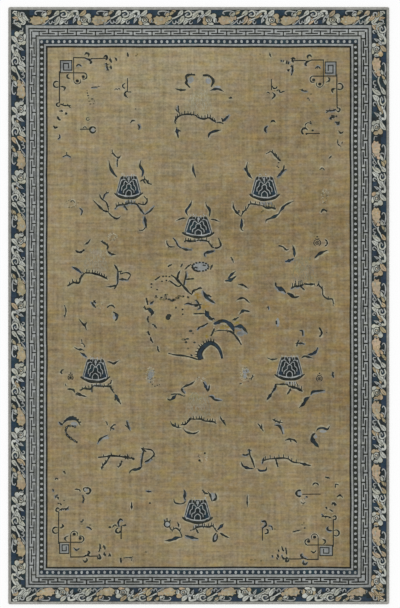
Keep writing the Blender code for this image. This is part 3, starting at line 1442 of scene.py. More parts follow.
@dataclass(frozen=True)
class Mound(Motif):
    """A domed flower mound: indigo with pale waves in it, a crown of buds and a dark saucer under it.

    Its place is the middle of its foot, in squares of the plan. It may be a little broader or lower than the
    others.
    """

    at: Point
    broader: float = 1.0
    higher: float = 1.0

    def draw(self, pen: Pen, rng: random.Random) -> None:
        """Draws the dome, the saucer, the waves, the crown and the dashes under the saucer."""
        held = pen.stretched(self.at, self.broader, self.higher)
        self.dome(held)
        held.line(Wool.INK, MOUND_SAUCER, 2.7, uneven(brushed, rng), rng.uniform(0.1, 0.4))
        held.line(Wool.SILVER, MOUND_FOOT, 1.05, uneven(even, rng), 0.8)
        for side in (-1, 1):
            self.waves(held, side, rng)
            self.crown(held, side, rng)
        held.line(Wool.SILVER, ((0, -14.6), (0.2, -20)), 0.9, even, 0.6)
        for i in range(6):
            x = -3.6 + 1.9 * i + rng.uniform(-0.3, 0.3)
            held.below().line(Wool.SILVER, ((x, 4), (x + 0.3, 7.4)), 0.95, even, rng.uniform(0.4, 0.8))
            held.line(Wool.INK, ((x + 0.95, 4.6), (x + 1.2, 6.6)), 0.55, even, 0.5)

    def dome(self, held: Pen) -> None:
        """Draws the dome with its rims, and the haloes of the dome and its saucer."""
        under = held.below()
        dome = (*MOUND_SIDE, *((-x, y) for x, y in reversed(MOUND_SIDE)), (0, 0.4))
        under.line(Wool.FADED, tuple((x, y + 0.5) for x, y in MOUND_SAUCER), 4.2, brushed, GHOST_DYE)
        under.fill(Wool.FADED, swollen(dome, 2), GHOST_DYE)
        under.fill(Wool.SILVER, swollen(dome, 1.4), 0.1)
        held.fill(Wool.INK, swollen(dome, 0.7), RIM_DYE)
        held.fill(Wool.NAVY, swollen(dome, -0.6), 0)
        for side in (-1, 1):
            held.disc(Wool.NAVY, (side * 9, -4.4), (1.9, 2.8), 0.4, 9)

    def waves(self, held: Pen, side: int, rng: random.Random) -> None:
        """Draws the pale rim and the waves of one half.

        Args:
            held: The pen in the mound's own squares.
            side: -1 for the left half, 1 for the right.
            rng: The source of their unevenness.
        """
        rim = tuple((side * (x - 0.6), y + rng.uniform(-0.2, 0.2)) for x, y in MOUND_SIDE[:-1])
        held.line(Wool.SILVER, rim, 0.75, uneven(even, rng), 0.7)
        for wave in MOUND_WAVES:
            path = tuple(shaken((side * x, y), 0.2, 0.2, rng) for x, y in wave)
            held.line(Wool.SILVER, path, 0.72, even, 0.75)

    def crown(self, held: Pen, side: int, rng: random.Random) -> None:
        """Draws the buds of one half's crown and the pale flecks over them.

        Args:
            held: The pen in the mound's own squares.
            side: -1 for the left half, 1 for the right.
            rng: The source of their unevenness.
        """
        for x, low, high in MOUND_BUDS:
            at = side * x + rng.uniform(-0.4, 0.4)
            held.below().line(Wool.FADED, ((at, low), (at, high - 0.6)), 3, even, GHOST_DYE)
            held.line(Wool.INK, ((at, low), (at + rng.uniform(-0.4, 0.4), high)), 2, brushed, 0.2)
            held.line(Wool.SILVER, ((at - side * 1.3, low), (at - side * 1.4, high - 0.4)), 0.7, even, 0.6)
        for _ in range(5):
            at = (side * rng.uniform(1, 8.4), rng.uniform(-22.6, -20.4))
            held.line(rng.choice((Wool.SILVER, Wool.FADED)), (at, (at[0], at[1] - 1.4)), 0.8, even, 0.8)


@dataclass(frozen=True)
class FadedMound(Motif):
    """A mound worn down to its ground, of which only a greyer patch of short upright marks is left."""

    at: Point
    tone: float
    broader: float = 1.0
    higher: float = 1.0
    marks: int = 290

    def draw(self, pen: Pen, rng: random.Random) -> None:
        """Draws the marks of the dome, of its saucer, and a few of its waves."""
        held = pen.stretched(self.at, self.broader, self.higher).below()
        for _ in range(self.marks):
            y = rng.uniform(-20, 4)
            half = 12.6 + 0.27 * y if y < 0 else 14.5 - 1.3 * y
            at = (rng.uniform(-1, 1) * half, y)
            tone = self.tone + rng.uniform(-0.14, 0.08)
            held.disc(Wool.FADED, at, (rng.uniform(0.3, 0.5), rng.uniform(0.7, 1.6)), tone, 6)
        for side in (-1, 1):
            for wave in MOUND_WAVES[:3]:
                path = tuple((side * x, y) for x, y in wave)
                held.line(Wool.FADED, path, 0.6, brushed, self.tone + 0.12)


@dataclass(frozen=True)
class Speckle(Motif):
    """A pale worn roundel with a few crumbs of colour."""

    at: Point
    radii: Point
    count: int = 14

    def draw(self, pen: Pen, rng: random.Random) -> None:
        """Draws the crumbs."""
        for _ in range(self.count):
            spot = scattered(self.at, self.radii, 0.2, rng)
            tone = rng.choice((0.1, 0.8, 0.9, 1))
            pen.disc(Wool.FADED, spot, (rng.uniform(0.5, 1.1), rng.uniform(0.4, 0.8)), tone, 6)


@dataclass(frozen=True)
class CornerFret(Motif):
    """The square spiral in a corner of the field, with an arm each way that ends in hooks and a sprig.

    Its place is the middle of the spiral, in squares of the plan. It is drawn as for the upper left corner.
    """

    at: Point
    half: Point
    flip_across: bool
    flip_along: bool
    level_arm: float
    upright_arm: float

    def draw(self, pen: Pen, rng: random.Random) -> None:
        """Draws the fret, turned for its own corner."""
        held = pen.stretched(self.at, -1 if self.flip_across else 1, -1 if self.flip_along else 1)
        held.box(Wool.SILVER, (-self.half[0], -self.half[1]), self.half, 0.25)
        for part in (*self.spiral(), *self.level(), *self.upright()):
            part.draw(held, rng)

    def spiral(self) -> tuple[Motif, ...]:
        """The square spiral and the two lines that run past it and end in curls."""
        hx, hy = self.half
        path = (
            (2.5, 1.8), (2.5, -2.7), (-2.5, -2.7), (-2.5, 4), (5.8, 4), (5.8, -5.6), (-5.7, -5.6),
            (-5.7, 5.6),
        )
        return (
            Ruled(tuple((x * hx / 5.8, y * hy / 5.7) for x, y in path), 1),
            Ruled(((hx + 1.8, -8.6), (hx + 1.8, hy + 8)), 0.9),
            Curl((hx + 5.8, hy + 8.6), 4, 180, -210, 1, 0.35, True),
            Ruled(((-hx - 0.8, hy + 1), (hx + 12.4, hy + 1)), 0.95),
            Curl((hx + 11.8, hy + 4.4), 3.4, 270, 210, 1.3, 0.2, True),
            Twig(((10.1, 0.2), (12.4, -1.8), (15.4, -0.1)), 1.3),
            Blade(((2.9, hy + 1.8), (0.9, hy + 4), (1.6, hy + 6), (4.6, hy + 7.4)), 2.1, 0.45),
        )

    def level(self) -> tuple[Motif, ...]:
        """The arm along the top of the field, with its hooks and the dashes after it."""
        a = self.level_arm
        return (
            Ruled(((self.half[0] + 1.8, -8.5), (18.7, -8.5))),
            Ruled(((25.6, -7.9), (a, -7.9))),
            Blade(((18.5, -11.2), (20.6, -13.3), (22.9, -12.2), (22.3, -9.4)), 2.5, 0.5),
            Twig(((22.6, -6.9), (25.4, -4.6), (23.7, -2.8)), 1.8),
            Twig(((18.8, -8.4), (22.6, -7.2), (26, -7.8)), 1.3),
            Twig(((a - 0.9, -9), (a + 0.6, -10.4), (a + 2.1, -10), (a + 1.9, -8), (a + 0.8, -6)), 2),
            Twig(((a + 1.4, -3.5), (a + 1.9, 0.4), (a + 2.6, 3.7)), 1.3),
            Twig(((a + 5.2, 0.4), (a + 6.1, 3.1)), 1.3),
            Twig(((a + 5.6, -7.1), (a + 6.4, -4.1)), 1.4),
            Twig(((a + 10.6, -8.5), (a + 11.7, -6.3)), 1.4),
        )

    def upright(self) -> tuple[Motif, ...]:
        """The arm down the side of the field, with its hooks and its sprig."""
        b = self.upright_arm
        left = -self.half[0] - 0.8
        return (
            Ruled(((left, self.half[1]), (left, b))),
            Curl((left - 2.9, 18.1), 3, 50, 260, 1.6),
            Blade(((left + 0.6, 20.2), (-2.6, 20.6), (-1.2, 22.2), (-2.4, 24.6)), 2.4, 0.6),
            Curl((left - 1, b + 2.4), 2, 300, -280, 1.6, 0.2),
            Twig(((-5.2, b + 1.6), (-1.9, b + 3.2), (4.8, b + 3.2)), 1.2, 2, 1.8),
            Twig(((2, b + 3.2), (4.8, b + 5.5)), 1.1),
            Dots(((-5.8, b + 8.8), (-0.2, b + 11.6)), 0.9),
            Twig(((-8.5, b + 13.8), (-8, b + 16.6), (-5.8, b + 17.1)), 1.2),
        )


# The motifs of the field. The places in these tables, and the points that the strokes pass through, were
# read off enlarged crops of the photograph with a grid of squares over them. How a stroke thins, its
# lumps, blooms and haloes are the classes' own.
CORNER_FRETS: tuple[CornerFret, ...] = (
    CornerFret((66, 66.2), (5.8, 5.7), False, False, 39, 36),
    CornerFret((330.7, 68.4), (5.4, 6.6), True, False, 36, 39),
    CornerFret((64.1, 548.2), (4.7, 5.1), False, True, 34, 36),
    CornerFret((326.2, 551), (6.3, 4.8), True, True, 38, 31),
)

MOUNDS: tuple[Mound, ...] = (
    Mound((128.6, 196.4), 0.94, 0.97),
    Mound((264.6, 197.4)),
    Mound((198.3, 235.3), 1.06, 0.91),
    Mound((95.3, 379.9), 0.98, 1),
    Mound((289.6, 377.4), 1, 0.98),
    Mound((197.6, 520.5), 1.02, 0.99),
)

FADED_MOUNDS: tuple[FadedMound, ...] = (
    FadedMound((199.5, 110), 0.86, 1.05, 1.05),
    FadedMound((95.5, 267.5), 0.66),
    FadedMound((303, 277), 0.40),
    FadedMound((198.5, 412.5), 0.60, 1.1),
)

UPPER_LEFT_SPRAYS: tuple[Motif, ...] = (
    Blade(((117.2, 177.4), (113.6, 173.4), (110.6, 168.2), (109, 160.4)), 3, 0.3),
    Blade(((141.6, 177.2), (142.8, 171.6), (139.8, 165.8), (140.8, 160.2)), 3.1, 0.35),
    Twig(((112.3, 149.5), (113, 153), (118.2, 158), (120.6, 155.6)), 1.2),
    Twig(((118.2, 158), (117.4, 162), (117.4, 167)), 1.2, 3),
    Twig(((140, 180.8), (145.4, 180), (148, 183.4), (151.6, 184.6)), 1.5, 2),
    Leaf((142.8, 180.6), (145.6, 184), 1.7, 0),
    Twig(((115, 209), (118.5, 205.2), (124, 204.8), (130, 203.2), (137, 204.2)), 1.8, 7),
    Twig(((137, 204.2), (140, 208.8), (144.6, 214.6)), 1.6),
    Twig(((124, 205), (127.6, 210.4)), 1.5),
    Twig(((138, 203.8), (144.6, 204.8), (147.2, 200.6), (144, 196.6)), 1.3, 2),
    Leaf((145, 215), (154.6, 206.4), 1.8, 0.06),
    Blade(((145, 216.6), (145.4, 221), (146.6, 228.4)), 3.3, 0.4),
    Twig(((146, 227), (143, 230.2), (139, 230.4)), 1),
    Blade(((106, 212.4), (100.4, 207.6), (93, 200)), 2.2, 0.35),
    Twig(((103, 210.4), (109, 212)), 1.7),
    Twig(((109, 211), (106.6, 203), (101.4, 198.6), (99.6, 194.4)), 1.3),
    Twig(((103, 199), (105, 194), (108.6, 192.2)), 1.1),
    Blade(((108, 212), (112, 216), (117.2, 218.6), (121.4, 215.8)), 2.1, 0.5),
)

UPPER_RIGHT_SPRAYS: tuple[Motif, ...] = (
    Blade(((252.6, 178.9), (250, 176.1), (247.4, 172), (246.6, 167.6), (247.8, 162.2)), 2.9, 0.35),
    Twig(((246.4, 171.4), (244.4, 167.8)), 1.4),
    Blade(((277.2, 177.2), (280.6, 174), (282.8, 171.1), (286.7, 169.1)), 2.9, 0.45),
    Twig(((282.4, 171.4), (283.8, 168.4), (284.2, 165)), 1.5),
    Twig(((270.8, 151.3), (274.4, 154.6), (277.6, 158.2), (280.6, 160.9)), 1.9, 4),
    Dots(((278.7, 162.6), (277.3, 166.2), (278.6, 167.4)), 0.8),
    Twig(((265.6, 153.9), (270.6, 151.7)), 0.8),
    Twig(((241.1, 216.4), (243.3, 212.2), (247.2, 208.3), (249.4, 204.4), (252.2, 203.9), (258.3, 204.8),
          (262.8, 205.4)), 1.5, 6),
    Twig(((262.8, 205.6), (265.6, 207.4), (271.7, 207.6), (275.8, 208.8)), 2.5, 5, 3),
    Crumbs(((261.4, 211.6), (262.8, 210.6)), 0.9),
    Blade(((278.2, 213.8), (281.7, 209), (285.6, 205), (293.9, 201.1)), 2.7, 0.35),
    Blade(((279.6, 213.2), (273.9, 216.6), (269.4, 218.4), (266.2, 220), (265.6, 222.8)), 3, 0.3),
    Blade(((241, 216.6), (236.7, 212.6), (233.7, 207.8), (233, 201.7)), 2.4, 0.4),
    Twig(((238.9, 213), (238.9, 210)), 1.2),
    Blade(((241.5, 218.6), (241.6, 223.9), (241.1, 228.9), (243.3, 231.1)), 3.4, 0.35),
)

UPPER_MIDDLE_SPRAYS: tuple[Motif, ...] = (
    Blade(((188.3, 216), (186.6, 213), (186.2, 210.4), (188.4, 207.4), (190.9, 203.3), (191.7, 200.2)),
          2.8, 0.5),
    Blade(((209.4, 216.4), (210, 211), (208.8, 208), (206.4, 205.4), (205.6, 201.7)), 2.7, 0.4),
    Leaf((186.7, 218), (176.1, 220.8), 1.6, 0.08),
    Blade(((210.6, 219.1), (214.4, 219.4), (220, 221.7)), 1.9, 0.3),
    Twig(((166.7, 240.6), (166.9, 243.6), (169.4, 246.7), (174.4, 246.9)), 1.3),
    Twig(((172.8, 237.8), (175.6, 241.1), (177.8, 245.6), (181.1, 248)), 1.3),
    Blade(((181, 247.9), (184.6, 249.4), (187.8, 250.1), (191.7, 250)), 2.3, 0.45),
    Twig(((184.4, 242.4), (185.6, 240.8), (190, 241.3), (195.6, 241.3)), 2, 4),
    Twig(((195.6, 241.3), (198.9, 240.2), (206.7, 240.9), (209.4, 243.3), (211.7, 246.7), (213.9, 247.6)),
         1.7, 5),
    Twig(((218.3, 237.8), (220, 242.2), (220.6, 245.6), (217.2, 247.8), (214.4, 247.8)), 1.7),
    Blade(((214.4, 250.6), (210, 251.8), (205.6, 252.8), (204.2, 254.4), (205, 257.2)), 3, 0.35),
    Blade(((193, 163.8), (193.2, 170), (195.8, 177.4)), 2.6, 0.5),
)

MIDDLE_LEFT_SPRAYS: tuple[Motif, ...] = (
    Blade(((79, 319.2), (82.5, 323.5), (85, 326), (86.5, 330)), 2.2, 0.6),
    Twig(((86.6, 322.4), (85.4, 325.6)), 1),
    Twig(((81.5, 339), (82, 342.5), (84, 345), (85, 347.5)), 0.8),
    Blade(((84, 350.6), (81, 349.4), (78, 349.4), (74, 347)), 2.1, 0.35),
    Blade(((86.4, 357.2), (83.5, 354.6), (80, 352.4)), 2.6, 0.4),
    Blade(((107, 361.4), (110, 362), (113.4, 363.4), (116.4, 361.6), (119, 360.4)), 2.4, 0.45),
    Twig(((80, 390.6), (84.5, 388.5), (90, 389.4), (92.5, 387), (94, 385.8)), 1.8, 4),
    Twig(((94, 385.8), (102, 386.2), (110, 386.2), (111.5, 389), (114.5, 393)), 1.9, 6),
    Twig(((92, 388.6), (92.2, 392.5)), 1.3),
    Twig(((108.4, 384.2), (110.6, 383), (111.5, 380)), 1.2),
    Blade(((115, 393.8), (117.2, 398), (121, 404.2)), 3.5, 0.3),
    Twig(((116.4, 396.6), (115, 400.4)), 1.6),
    Twig(((67.4, 389), (73, 389.6), (74.8, 392.5)), 1.8),
    Twig(((65.4, 383.6), (66.2, 386.2)), 0.9),
    Blade(((75.4, 395), (79, 394.6), (82.5, 395.6), (87, 397)), 2.5, 0.35),
    Twig(((75.6, 394), (77.6, 393), (80.6, 393.6)), 1.1),
    Twig(((62.4, 369.4), (60.8, 372.2), (62.2, 374)), 1.5),
    Moth((70.6, 377.6), 2.5),
)

MIDDLE_RIGHT_SPRAYS: tuple[Motif, ...] = (
    Bloom((277.2, 323.6), (2.2, 5), 0.3),
    Twig(((276.4, 320.6), (276.7, 324.6)), 1.5),
    Blade(((299.4, 330.4), (302.4, 331), (302.9, 336.2)), 2.1, 0.5),
    Twig(((298.9, 340.4), (297.2, 343.9), (296.7, 346.8)), 1.6),
    Twig(((297.4, 343.6), (301, 343.4), (304.6, 344.2)), 1.6),
    Twig(((319.2, 327.2), (321.4, 330.6), (321.7, 333.9), (319.4, 336.7)), 1.8),
    Dots(((326.7, 332.2),), 0.6),
    Blade(((307.6, 354.6), (312.2, 353.8), (316.1, 351.1), (317.8, 347)), 3, 0.45),
    Blade(((301.1, 358.3), (304.6, 356.2), (309.4, 357.2), (313.4, 357.9)), 2.5, 0.45),
    Blade(((277.8, 358.8), (271.7, 359.4), (267.4, 357.7)), 2, 0.4),
    Twig(((275.6, 383.8), (275.2, 387.8), (272.2, 392.2)), 2.1),
    Blade(((272.4, 392), (269.4, 396.7), (266.4, 400.4)), 3.2, 0.5),
    Twig(((275.6, 384.2), (281.7, 384.4), (287.2, 384.4), (288.9, 386.7)), 1.5),
    Twig(((288.6, 386.4), (292.8, 387.2), (297.2, 388.3), (302.8, 391.2)), 2.6, 6, 3.2),
    Twig(((290.8, 388.4), (289.4, 391.4), (287.2, 394.4)), 1.8),
    Blade(((310.8, 394.8), (312.8, 391.7), (317.2, 390.8), (325.4, 390)), 3, 0.3),
    Blade(((310.2, 396.4), (306.1, 399.2), (304, 403.4), (299.2, 407.8)), 4, 0.4),
    Moth((319.4, 378.3), 2.9),
    Twig(((333.6, 372), (332.6, 374.4), (333.8, 377.6)), 1.8),
)

LOWER_MIDDLE_SPRAYS: tuple[Motif, ...] = (
    Blade(((185.6, 500.6), (184.4, 497.5), (185, 492.5), (183.8, 489.4)), 2.7, 0.45),
    Twig(((173.8, 498.8), (175, 502.5), (179.4, 503.8), (183.8, 503.1), (185.6, 501.3)), 1.3),
    Twig(((202.3, 489.8), (205, 493.1), (208.1, 493.8)), 1.7),
    Bloom((212.4, 496), (3.2, 4), 0.2),
    Blade(((207.5, 491.3), (210, 495), (211.9, 501.4)), 2.1, 0.5),
    Blade(((211.9, 501.3), (215.4, 499.2), (216.3, 496.6), (214.8, 492.8)), 2.5, 0.4),
    Bloom((167.3, 524.2), (2.4, 2.4), 0.5),
    Curl((167.3, 524.2), 2.9, 0, 350, 1.4),
    Twig(((165, 522.6), (164.4, 519.6)), 1.1),
    Twig(((167.2, 521), (167, 517.8)), 1.1),
    Twig(((169.4, 522), (170.4, 519.6)), 1.1),
    Twig(((169.6, 527), (171.9, 530), (175.6, 528.1), (178.8, 530), (180.6, 533.1), (181.9, 536.9)), 1.3, 2),
    Blade(((178.8, 527.4), (178.6, 525), (177.4, 522)), 2.1, 0.4),
    Blade(((181.9, 537.2), (176.3, 538), (171.3, 540), (164.6, 540.8)), 3.4, 0.45),
    Blade(((184.8, 535.4), (188.8, 536.6), (192.5, 537.5), (198.3, 538.6)), 3.1, 0.4),
    Twig(((190.4, 530.2), (193.8, 529.4), (196.3, 527.5), (201.3, 526.5), (208.8, 526.9), (212.5, 525.8),
          (215, 529.4), (217.4, 531.9)), 1.8, 9),
    Twig(((196, 529), (198.1, 533.2)), 1.7),
    Blade(((217.2, 530.2), (220.6, 526.9), (223.8, 523.6)), 3.2, 0.55),
    Blade(((219.6, 532.8), (225, 536.1), (229.6, 538.2)), 2.5, 0.35),
    Bloom((215.2, 537.4), (1.5, 2.9)),
    Twig(((216.3, 533), (213.4, 536.6), (213.6, 541.2), (216.6, 539.4), (217.2, 534.2)), 1.6),
)

TOP_MIDDLE_SPRAYS: tuple[Motif, ...] = (
    Bloom((190.6, 79.6), (3, 3.4)),
    Twig(((195, 75), (188.9, 75), (186.1, 76.7), (186.7, 81.1), (186.1, 83.3), (190, 87.8)), 2.2),
    Bloom((208.4, 80.4), (3, 3.2)),
    Twig(((202.8, 75.3), (208.9, 75.6), (213.3, 80.6), (211.1, 86.7)), 2.4),
    Blade(((186.3, 90), (180.6, 90.2), (175, 88.7)), 2.5, 0.4),
    Bloom((217, 87), (3.8, 1.2), 0.6),
    Blade(((210, 90.6), (214.4, 89.1), (218.9, 89.1), (223.9, 91.7)), 2.7, 0.4),
    Twig(((175.6, 123.9), (175, 121.1), (177.8, 117.2), (182.2, 115), (188.9, 114.4), (195, 115)), 1.8, 9),
    Twig(((195, 115), (198.9, 117.8), (204.4, 118.9), (208.9, 117.8), (213.3, 120.6), (216.4, 122.8)),
         1.8, 8),
    Twig(((178.3, 105.6), (178.9, 113.3)), 1.3),
    Twig(((175.6, 108.9), (177.8, 112.2)), 1.1),
    Blade(((176.7, 127), (177, 131.6), (178.3, 138)), 3.3, 0.4),
    Twig(((177.6, 129.6), (180.6, 131.4)), 1.3),
    Blade(((208.3, 137.9), (209.4, 133.9), (213.3, 131.7), (221.3, 130)), 3.2, 0.45),
    Blade(((222, 122.4), (225, 119.4), (229, 115.4)), 2.8, 0.5),
    Twig(((221.7, 117.8), (222.8, 121.7)), 1.3),
    Twig(((217, 122.8), (220, 122.6), (223.6, 124)), 1.3),
)

FADED_LEFT_SPRAYS: tuple[Motif, ...] = (
    Twig(((67.2, 286.1), (73.3, 282.8), (78.9, 282.8), (81.1, 277.2), (85, 272.8)), 1.9, 6),
    Twig(((85, 272.8), (93.3, 273.3), (102.2, 276.1), (107.8, 279.2)), 2, 9),
    Blade(((81.8, 273.4), (77, 269.4), (71.6, 266.6)), 2.8, 0.4),
    Twig(((114.6, 265), (117.8, 270.6), (117.8, 279.4), (117.6, 283.4), (114.4, 289)), 1.6),
    Leaf((118.4, 271), (114.2, 264.4), 2, 0),
    Twig(((118.3, 271.7), (122.2, 271.1)), 1.2),
    Leaf((117.4, 284.6), (106.2, 286.8), 2, -0.06),
    Leaf((119, 279.6), (128, 280.2), 2.2, -0.06),
    Twig(((120, 274), (126.6, 272.6), (130.4, 275), (127.8, 280)), 1.2),
    Leaf((84.4, 244.4), (90.4, 239), 1.8),
    Twig(((75.6, 250.2), (78, 252), (81, 252), (84.4, 249.4)), 2),
    Twig(((100.6, 241), (104.4, 243), (107.8, 246), (107, 249.4)), 1.9),
    Leaf((107, 250.6), (116, 254.6), 2),
    Twig(((110.4, 252.8), (112, 255.4)), 1.1),
)

FADED_RIGHT_SPRAYS: tuple[Motif, ...] = (
    Twig(((278.6, 245.6), (283, 246.8), (286.4, 249.8), (288.8, 249)), 1.5),
    Leaf((294.6, 257), (292.6, 245), 2.8, 0.05),
    Leaf((285, 261.7), (294.4, 258.3), 2.8, 0.05),
    Leaf((314.4, 258.3), (327.8, 250), 3, -0.08),
    Twig(((275.4, 282.4), (275.6, 286.4)), 1.7),
    Blade(((275.6, 286.2), (280.2, 289), (283.4, 290.4), (285.8, 293.2)), 4.4, 0.4),
    Blade(((287, 293), (290.6, 295), (294.4, 297.4), (299.2, 296.4)), 3.8, 0.25),
    Twig(((291, 288.6), (294.4, 286.6), (299, 286), (303.6, 284.2)), 2, 6, 4.4),
    Twig(((300, 286), (304.4, 290)), 1.6),
    Twig(((303.9, 283.9), (310, 284.2), (315, 283.9)), 2),
    Twig(((316.6, 286.4), (318.4, 283.6), (318.9, 285.6), (322.2, 289.4), (322.8, 295), (327.2, 298.9),
          (332.2, 299.4), (333.3, 306.1)), 1.5, 5),
)

FADED_LOWER_SPRAYS: tuple[Motif, ...] = (
    Blade(((182, 388), (187, 385.6), (191, 384.2), (195.2, 380.8)), 2.5, 0.45),
    Blade(((182, 387.8), (182.4, 391), (185.2, 393.8)), 2.3, 0.25),
    Twig(((184.5, 396.6), (180, 394.5), (176, 394), (171, 394.5)), 1.3),
    Blade(((176.8, 394.4), (173, 398.2), (170, 400), (167.2, 398.8)), 3, 0.35),
    Bloom((207.8, 387.2), (1.3, 2.4)),
    Blade(((203, 381.8), (205.4, 386), (208, 391.8)), 2.7, 0.5),
    Blade(((208, 391.6), (209, 388), (209.5, 384.2)), 2, 0.4),
    Blade(((208.4, 396.1), (212, 397), (214.5, 399.6), (221.6, 400.6)), 2.6, 0.4),
    Speckle((200.5, 378.8), (4.5, 2.6), 16),
    Twig(((181, 424.6), (185, 424.4), (188, 422), (190.5, 419.2), (195, 419.3)), 1.8, 6),
    Twig(((195, 419.3), (201, 419.2), (205, 421), (213, 421.8), (216.5, 423.9)), 1.8, 8),
    Blade(((170.4, 421.2), (172, 424.4), (176.5, 427), (181.6, 427.8)), 2.2, 0.4),
    Twig(((175, 422.6), (175.6, 426.4)), 1.2),
    Twig(((178, 424.4), (178.6, 427)), 1.1),
    Blade(((183.4, 428.4), (186, 431.5), (191.5, 433.4), (196, 433.1), (199.2, 431)), 2.4, 0.5),
    Blade(((220, 415.8), (221.5, 419.5), (224, 422.5), (226.2, 426)), 2.2, 0.55),
    Twig(((222.2, 420.6), (224.6, 420.4)), 1),
)

LOWER_BRANCHES: tuple[Motif, ...] = (
    Bloom((74.6, 424.2), (3.8, 2.2)),
    Blade(((58.8, 421.4), (60.6, 423.4), (63, 425)), 2.4, 0.6),
    Blade(((62.6, 423.6), (66.6, 419.8), (72, 418.2), (77, 420.2), (80.4, 425.4)), 4, 0.4),
    Dots(((64.6, 420.6), (67, 418.2), (69.8, 416.8), (72.8, 416.4), (75.8, 417.6), (78.2, 419.6),
          (80.2, 422.2)), 0.9),
    Beads(((75, 426.6), (68.3, 425.9), (65.8, 430), (66.9, 434.6), (70.8, 438.4), (76.8, 442.2)), 2.3),
    Twig(((106.6, 421.6), (107.4, 425.6)), 1.1),
    Speckle((105, 419.4), (2.6, 2.6), 10),
    Twig(((110.6, 431), (111.4, 427.6), (114, 425), (116, 425)), 1.4),
    Twig(((112, 428.4), (114.4, 429.4)), 1.1),
    Blade(((126.7, 420.6), (127.6, 425.6), (130.2, 431)), 2.4, 0.5),
    Twig(((124.8, 425.2), (127.4, 427.2)), 1),
    Bloom((105.6, 438.2), (3.2, 1.5)),
    Blade(((97.4, 443.9), (100, 439.4), (103.8, 437), (108, 435)), 2.1, 0.35),
    Twig(((98.3, 457.4), (106.7, 456.6), (110, 455.8), (118.3, 456.3), (126.7, 457.5), (133, 458.6)), 1.6, 4),
    Dots(((133.4, 458.8), (131.6, 457.9), (102.2, 467.2)), 1.3),
    Twig(((110, 456.4), (106.7, 461.6), (103.3, 465.6), (101.7, 469.4)), 1.7, 3),
    Twig(((121.7, 460.6), (120.8, 464.2), (118.3, 467.6)), 1.6),
    Twig(((124.6, 455.4), (128.4, 459.4)), 1.3),
    Twig(((128.4, 455.4), (125, 459.2)), 1.2),
    Twig(((141.4, 448), (143.6, 450.6), (142.6, 455), (141.7, 461.7), (141.7, 466.9)), 1.5),
    Blade(((140.8, 448.2), (143.6, 450), (146.4, 451.8)), 2.3, 0.5),
    Twig(((141.7, 448.3), (146.4, 449), (151.7, 450), (154.2, 454), (151.7, 457.5), (145, 461.6)), 1.3),
    Blade(((151.4, 458), (148, 460.4), (144.4, 462.2)), 1.9, 0.7),
    Blade(((141.9, 466.6), (137.5, 469.2), (131.7, 470), (129, 473.4)), 3.1, 0.3),
    Blade(((257.4, 423.2), (260.6, 427), (263.4, 431.4)), 2.2, 0.5),
    Twig(((261.4, 424.4), (261.8, 428.4)), 1),
    Twig(((272.4, 419.2), (277.5, 421.6), (282.6, 422.6)), 1.4, 3, 2),
    Blade(((274, 425), (279, 425.8), (281.4, 430), (282.8, 434.6)), 2.4, 0.4),
    Twig(((285, 440.2), (289.4, 439), (294, 440), (296.8, 442.8)), 1.6),
    Twig(((290, 439.4), (291, 442)), 1.1),
    Bloom((322.6, 431), (4.2, 1.7), 0.45),
    Blade(((316.4, 431.6), (318.3, 428.8), (323.3, 428), (327.5, 429.2), (330.2, 425.6)), 2.6, 0.5),
    Blade(((315.2, 433), (312.4, 435.8), (312.5, 440), (315.6, 444.2), (318.6, 447.4)), 4.8, 0.62),
    Bloom((315.8, 436.4), (1.7, 1.9), 0.5),
    Twig(((249.2, 449), (250, 455), (252.5, 460.8), (254.8, 467.6)), 1.5),
    Twig(((242.4, 454.4), (246, 455), (250, 453.2)), 1.6),
    Twig(((247.4, 450), (251.6, 450.2)), 1.1),
    Blade(((254, 468.8), (248, 468), (243, 465.8), (241.2, 461.4)), 2.8, 0.45),
    Blade(((257.4, 468.2), (260, 470.6), (265.6, 470.2), (266.8, 466.8)), 2.6, 0.45),
    Twig(((262.4, 463.6), (263.2, 460.6), (264.2, 457.4)), 1.7),
    Twig(((263.2, 460.8), (268.3, 459.2), (276.7, 458.3), (286.7, 458.3), (292.5, 461.7), (299.2, 463)),
         1.7, 8),
    Twig(((275.8, 459), (276.8, 463), (278, 467)), 1.7),
    Blade(((298.6, 462.6), (304.2, 464.2), (311.2, 466)), 2.8, 0.45),
    Twig(((325, 477.2), (330, 478.4)), 1.5),
)

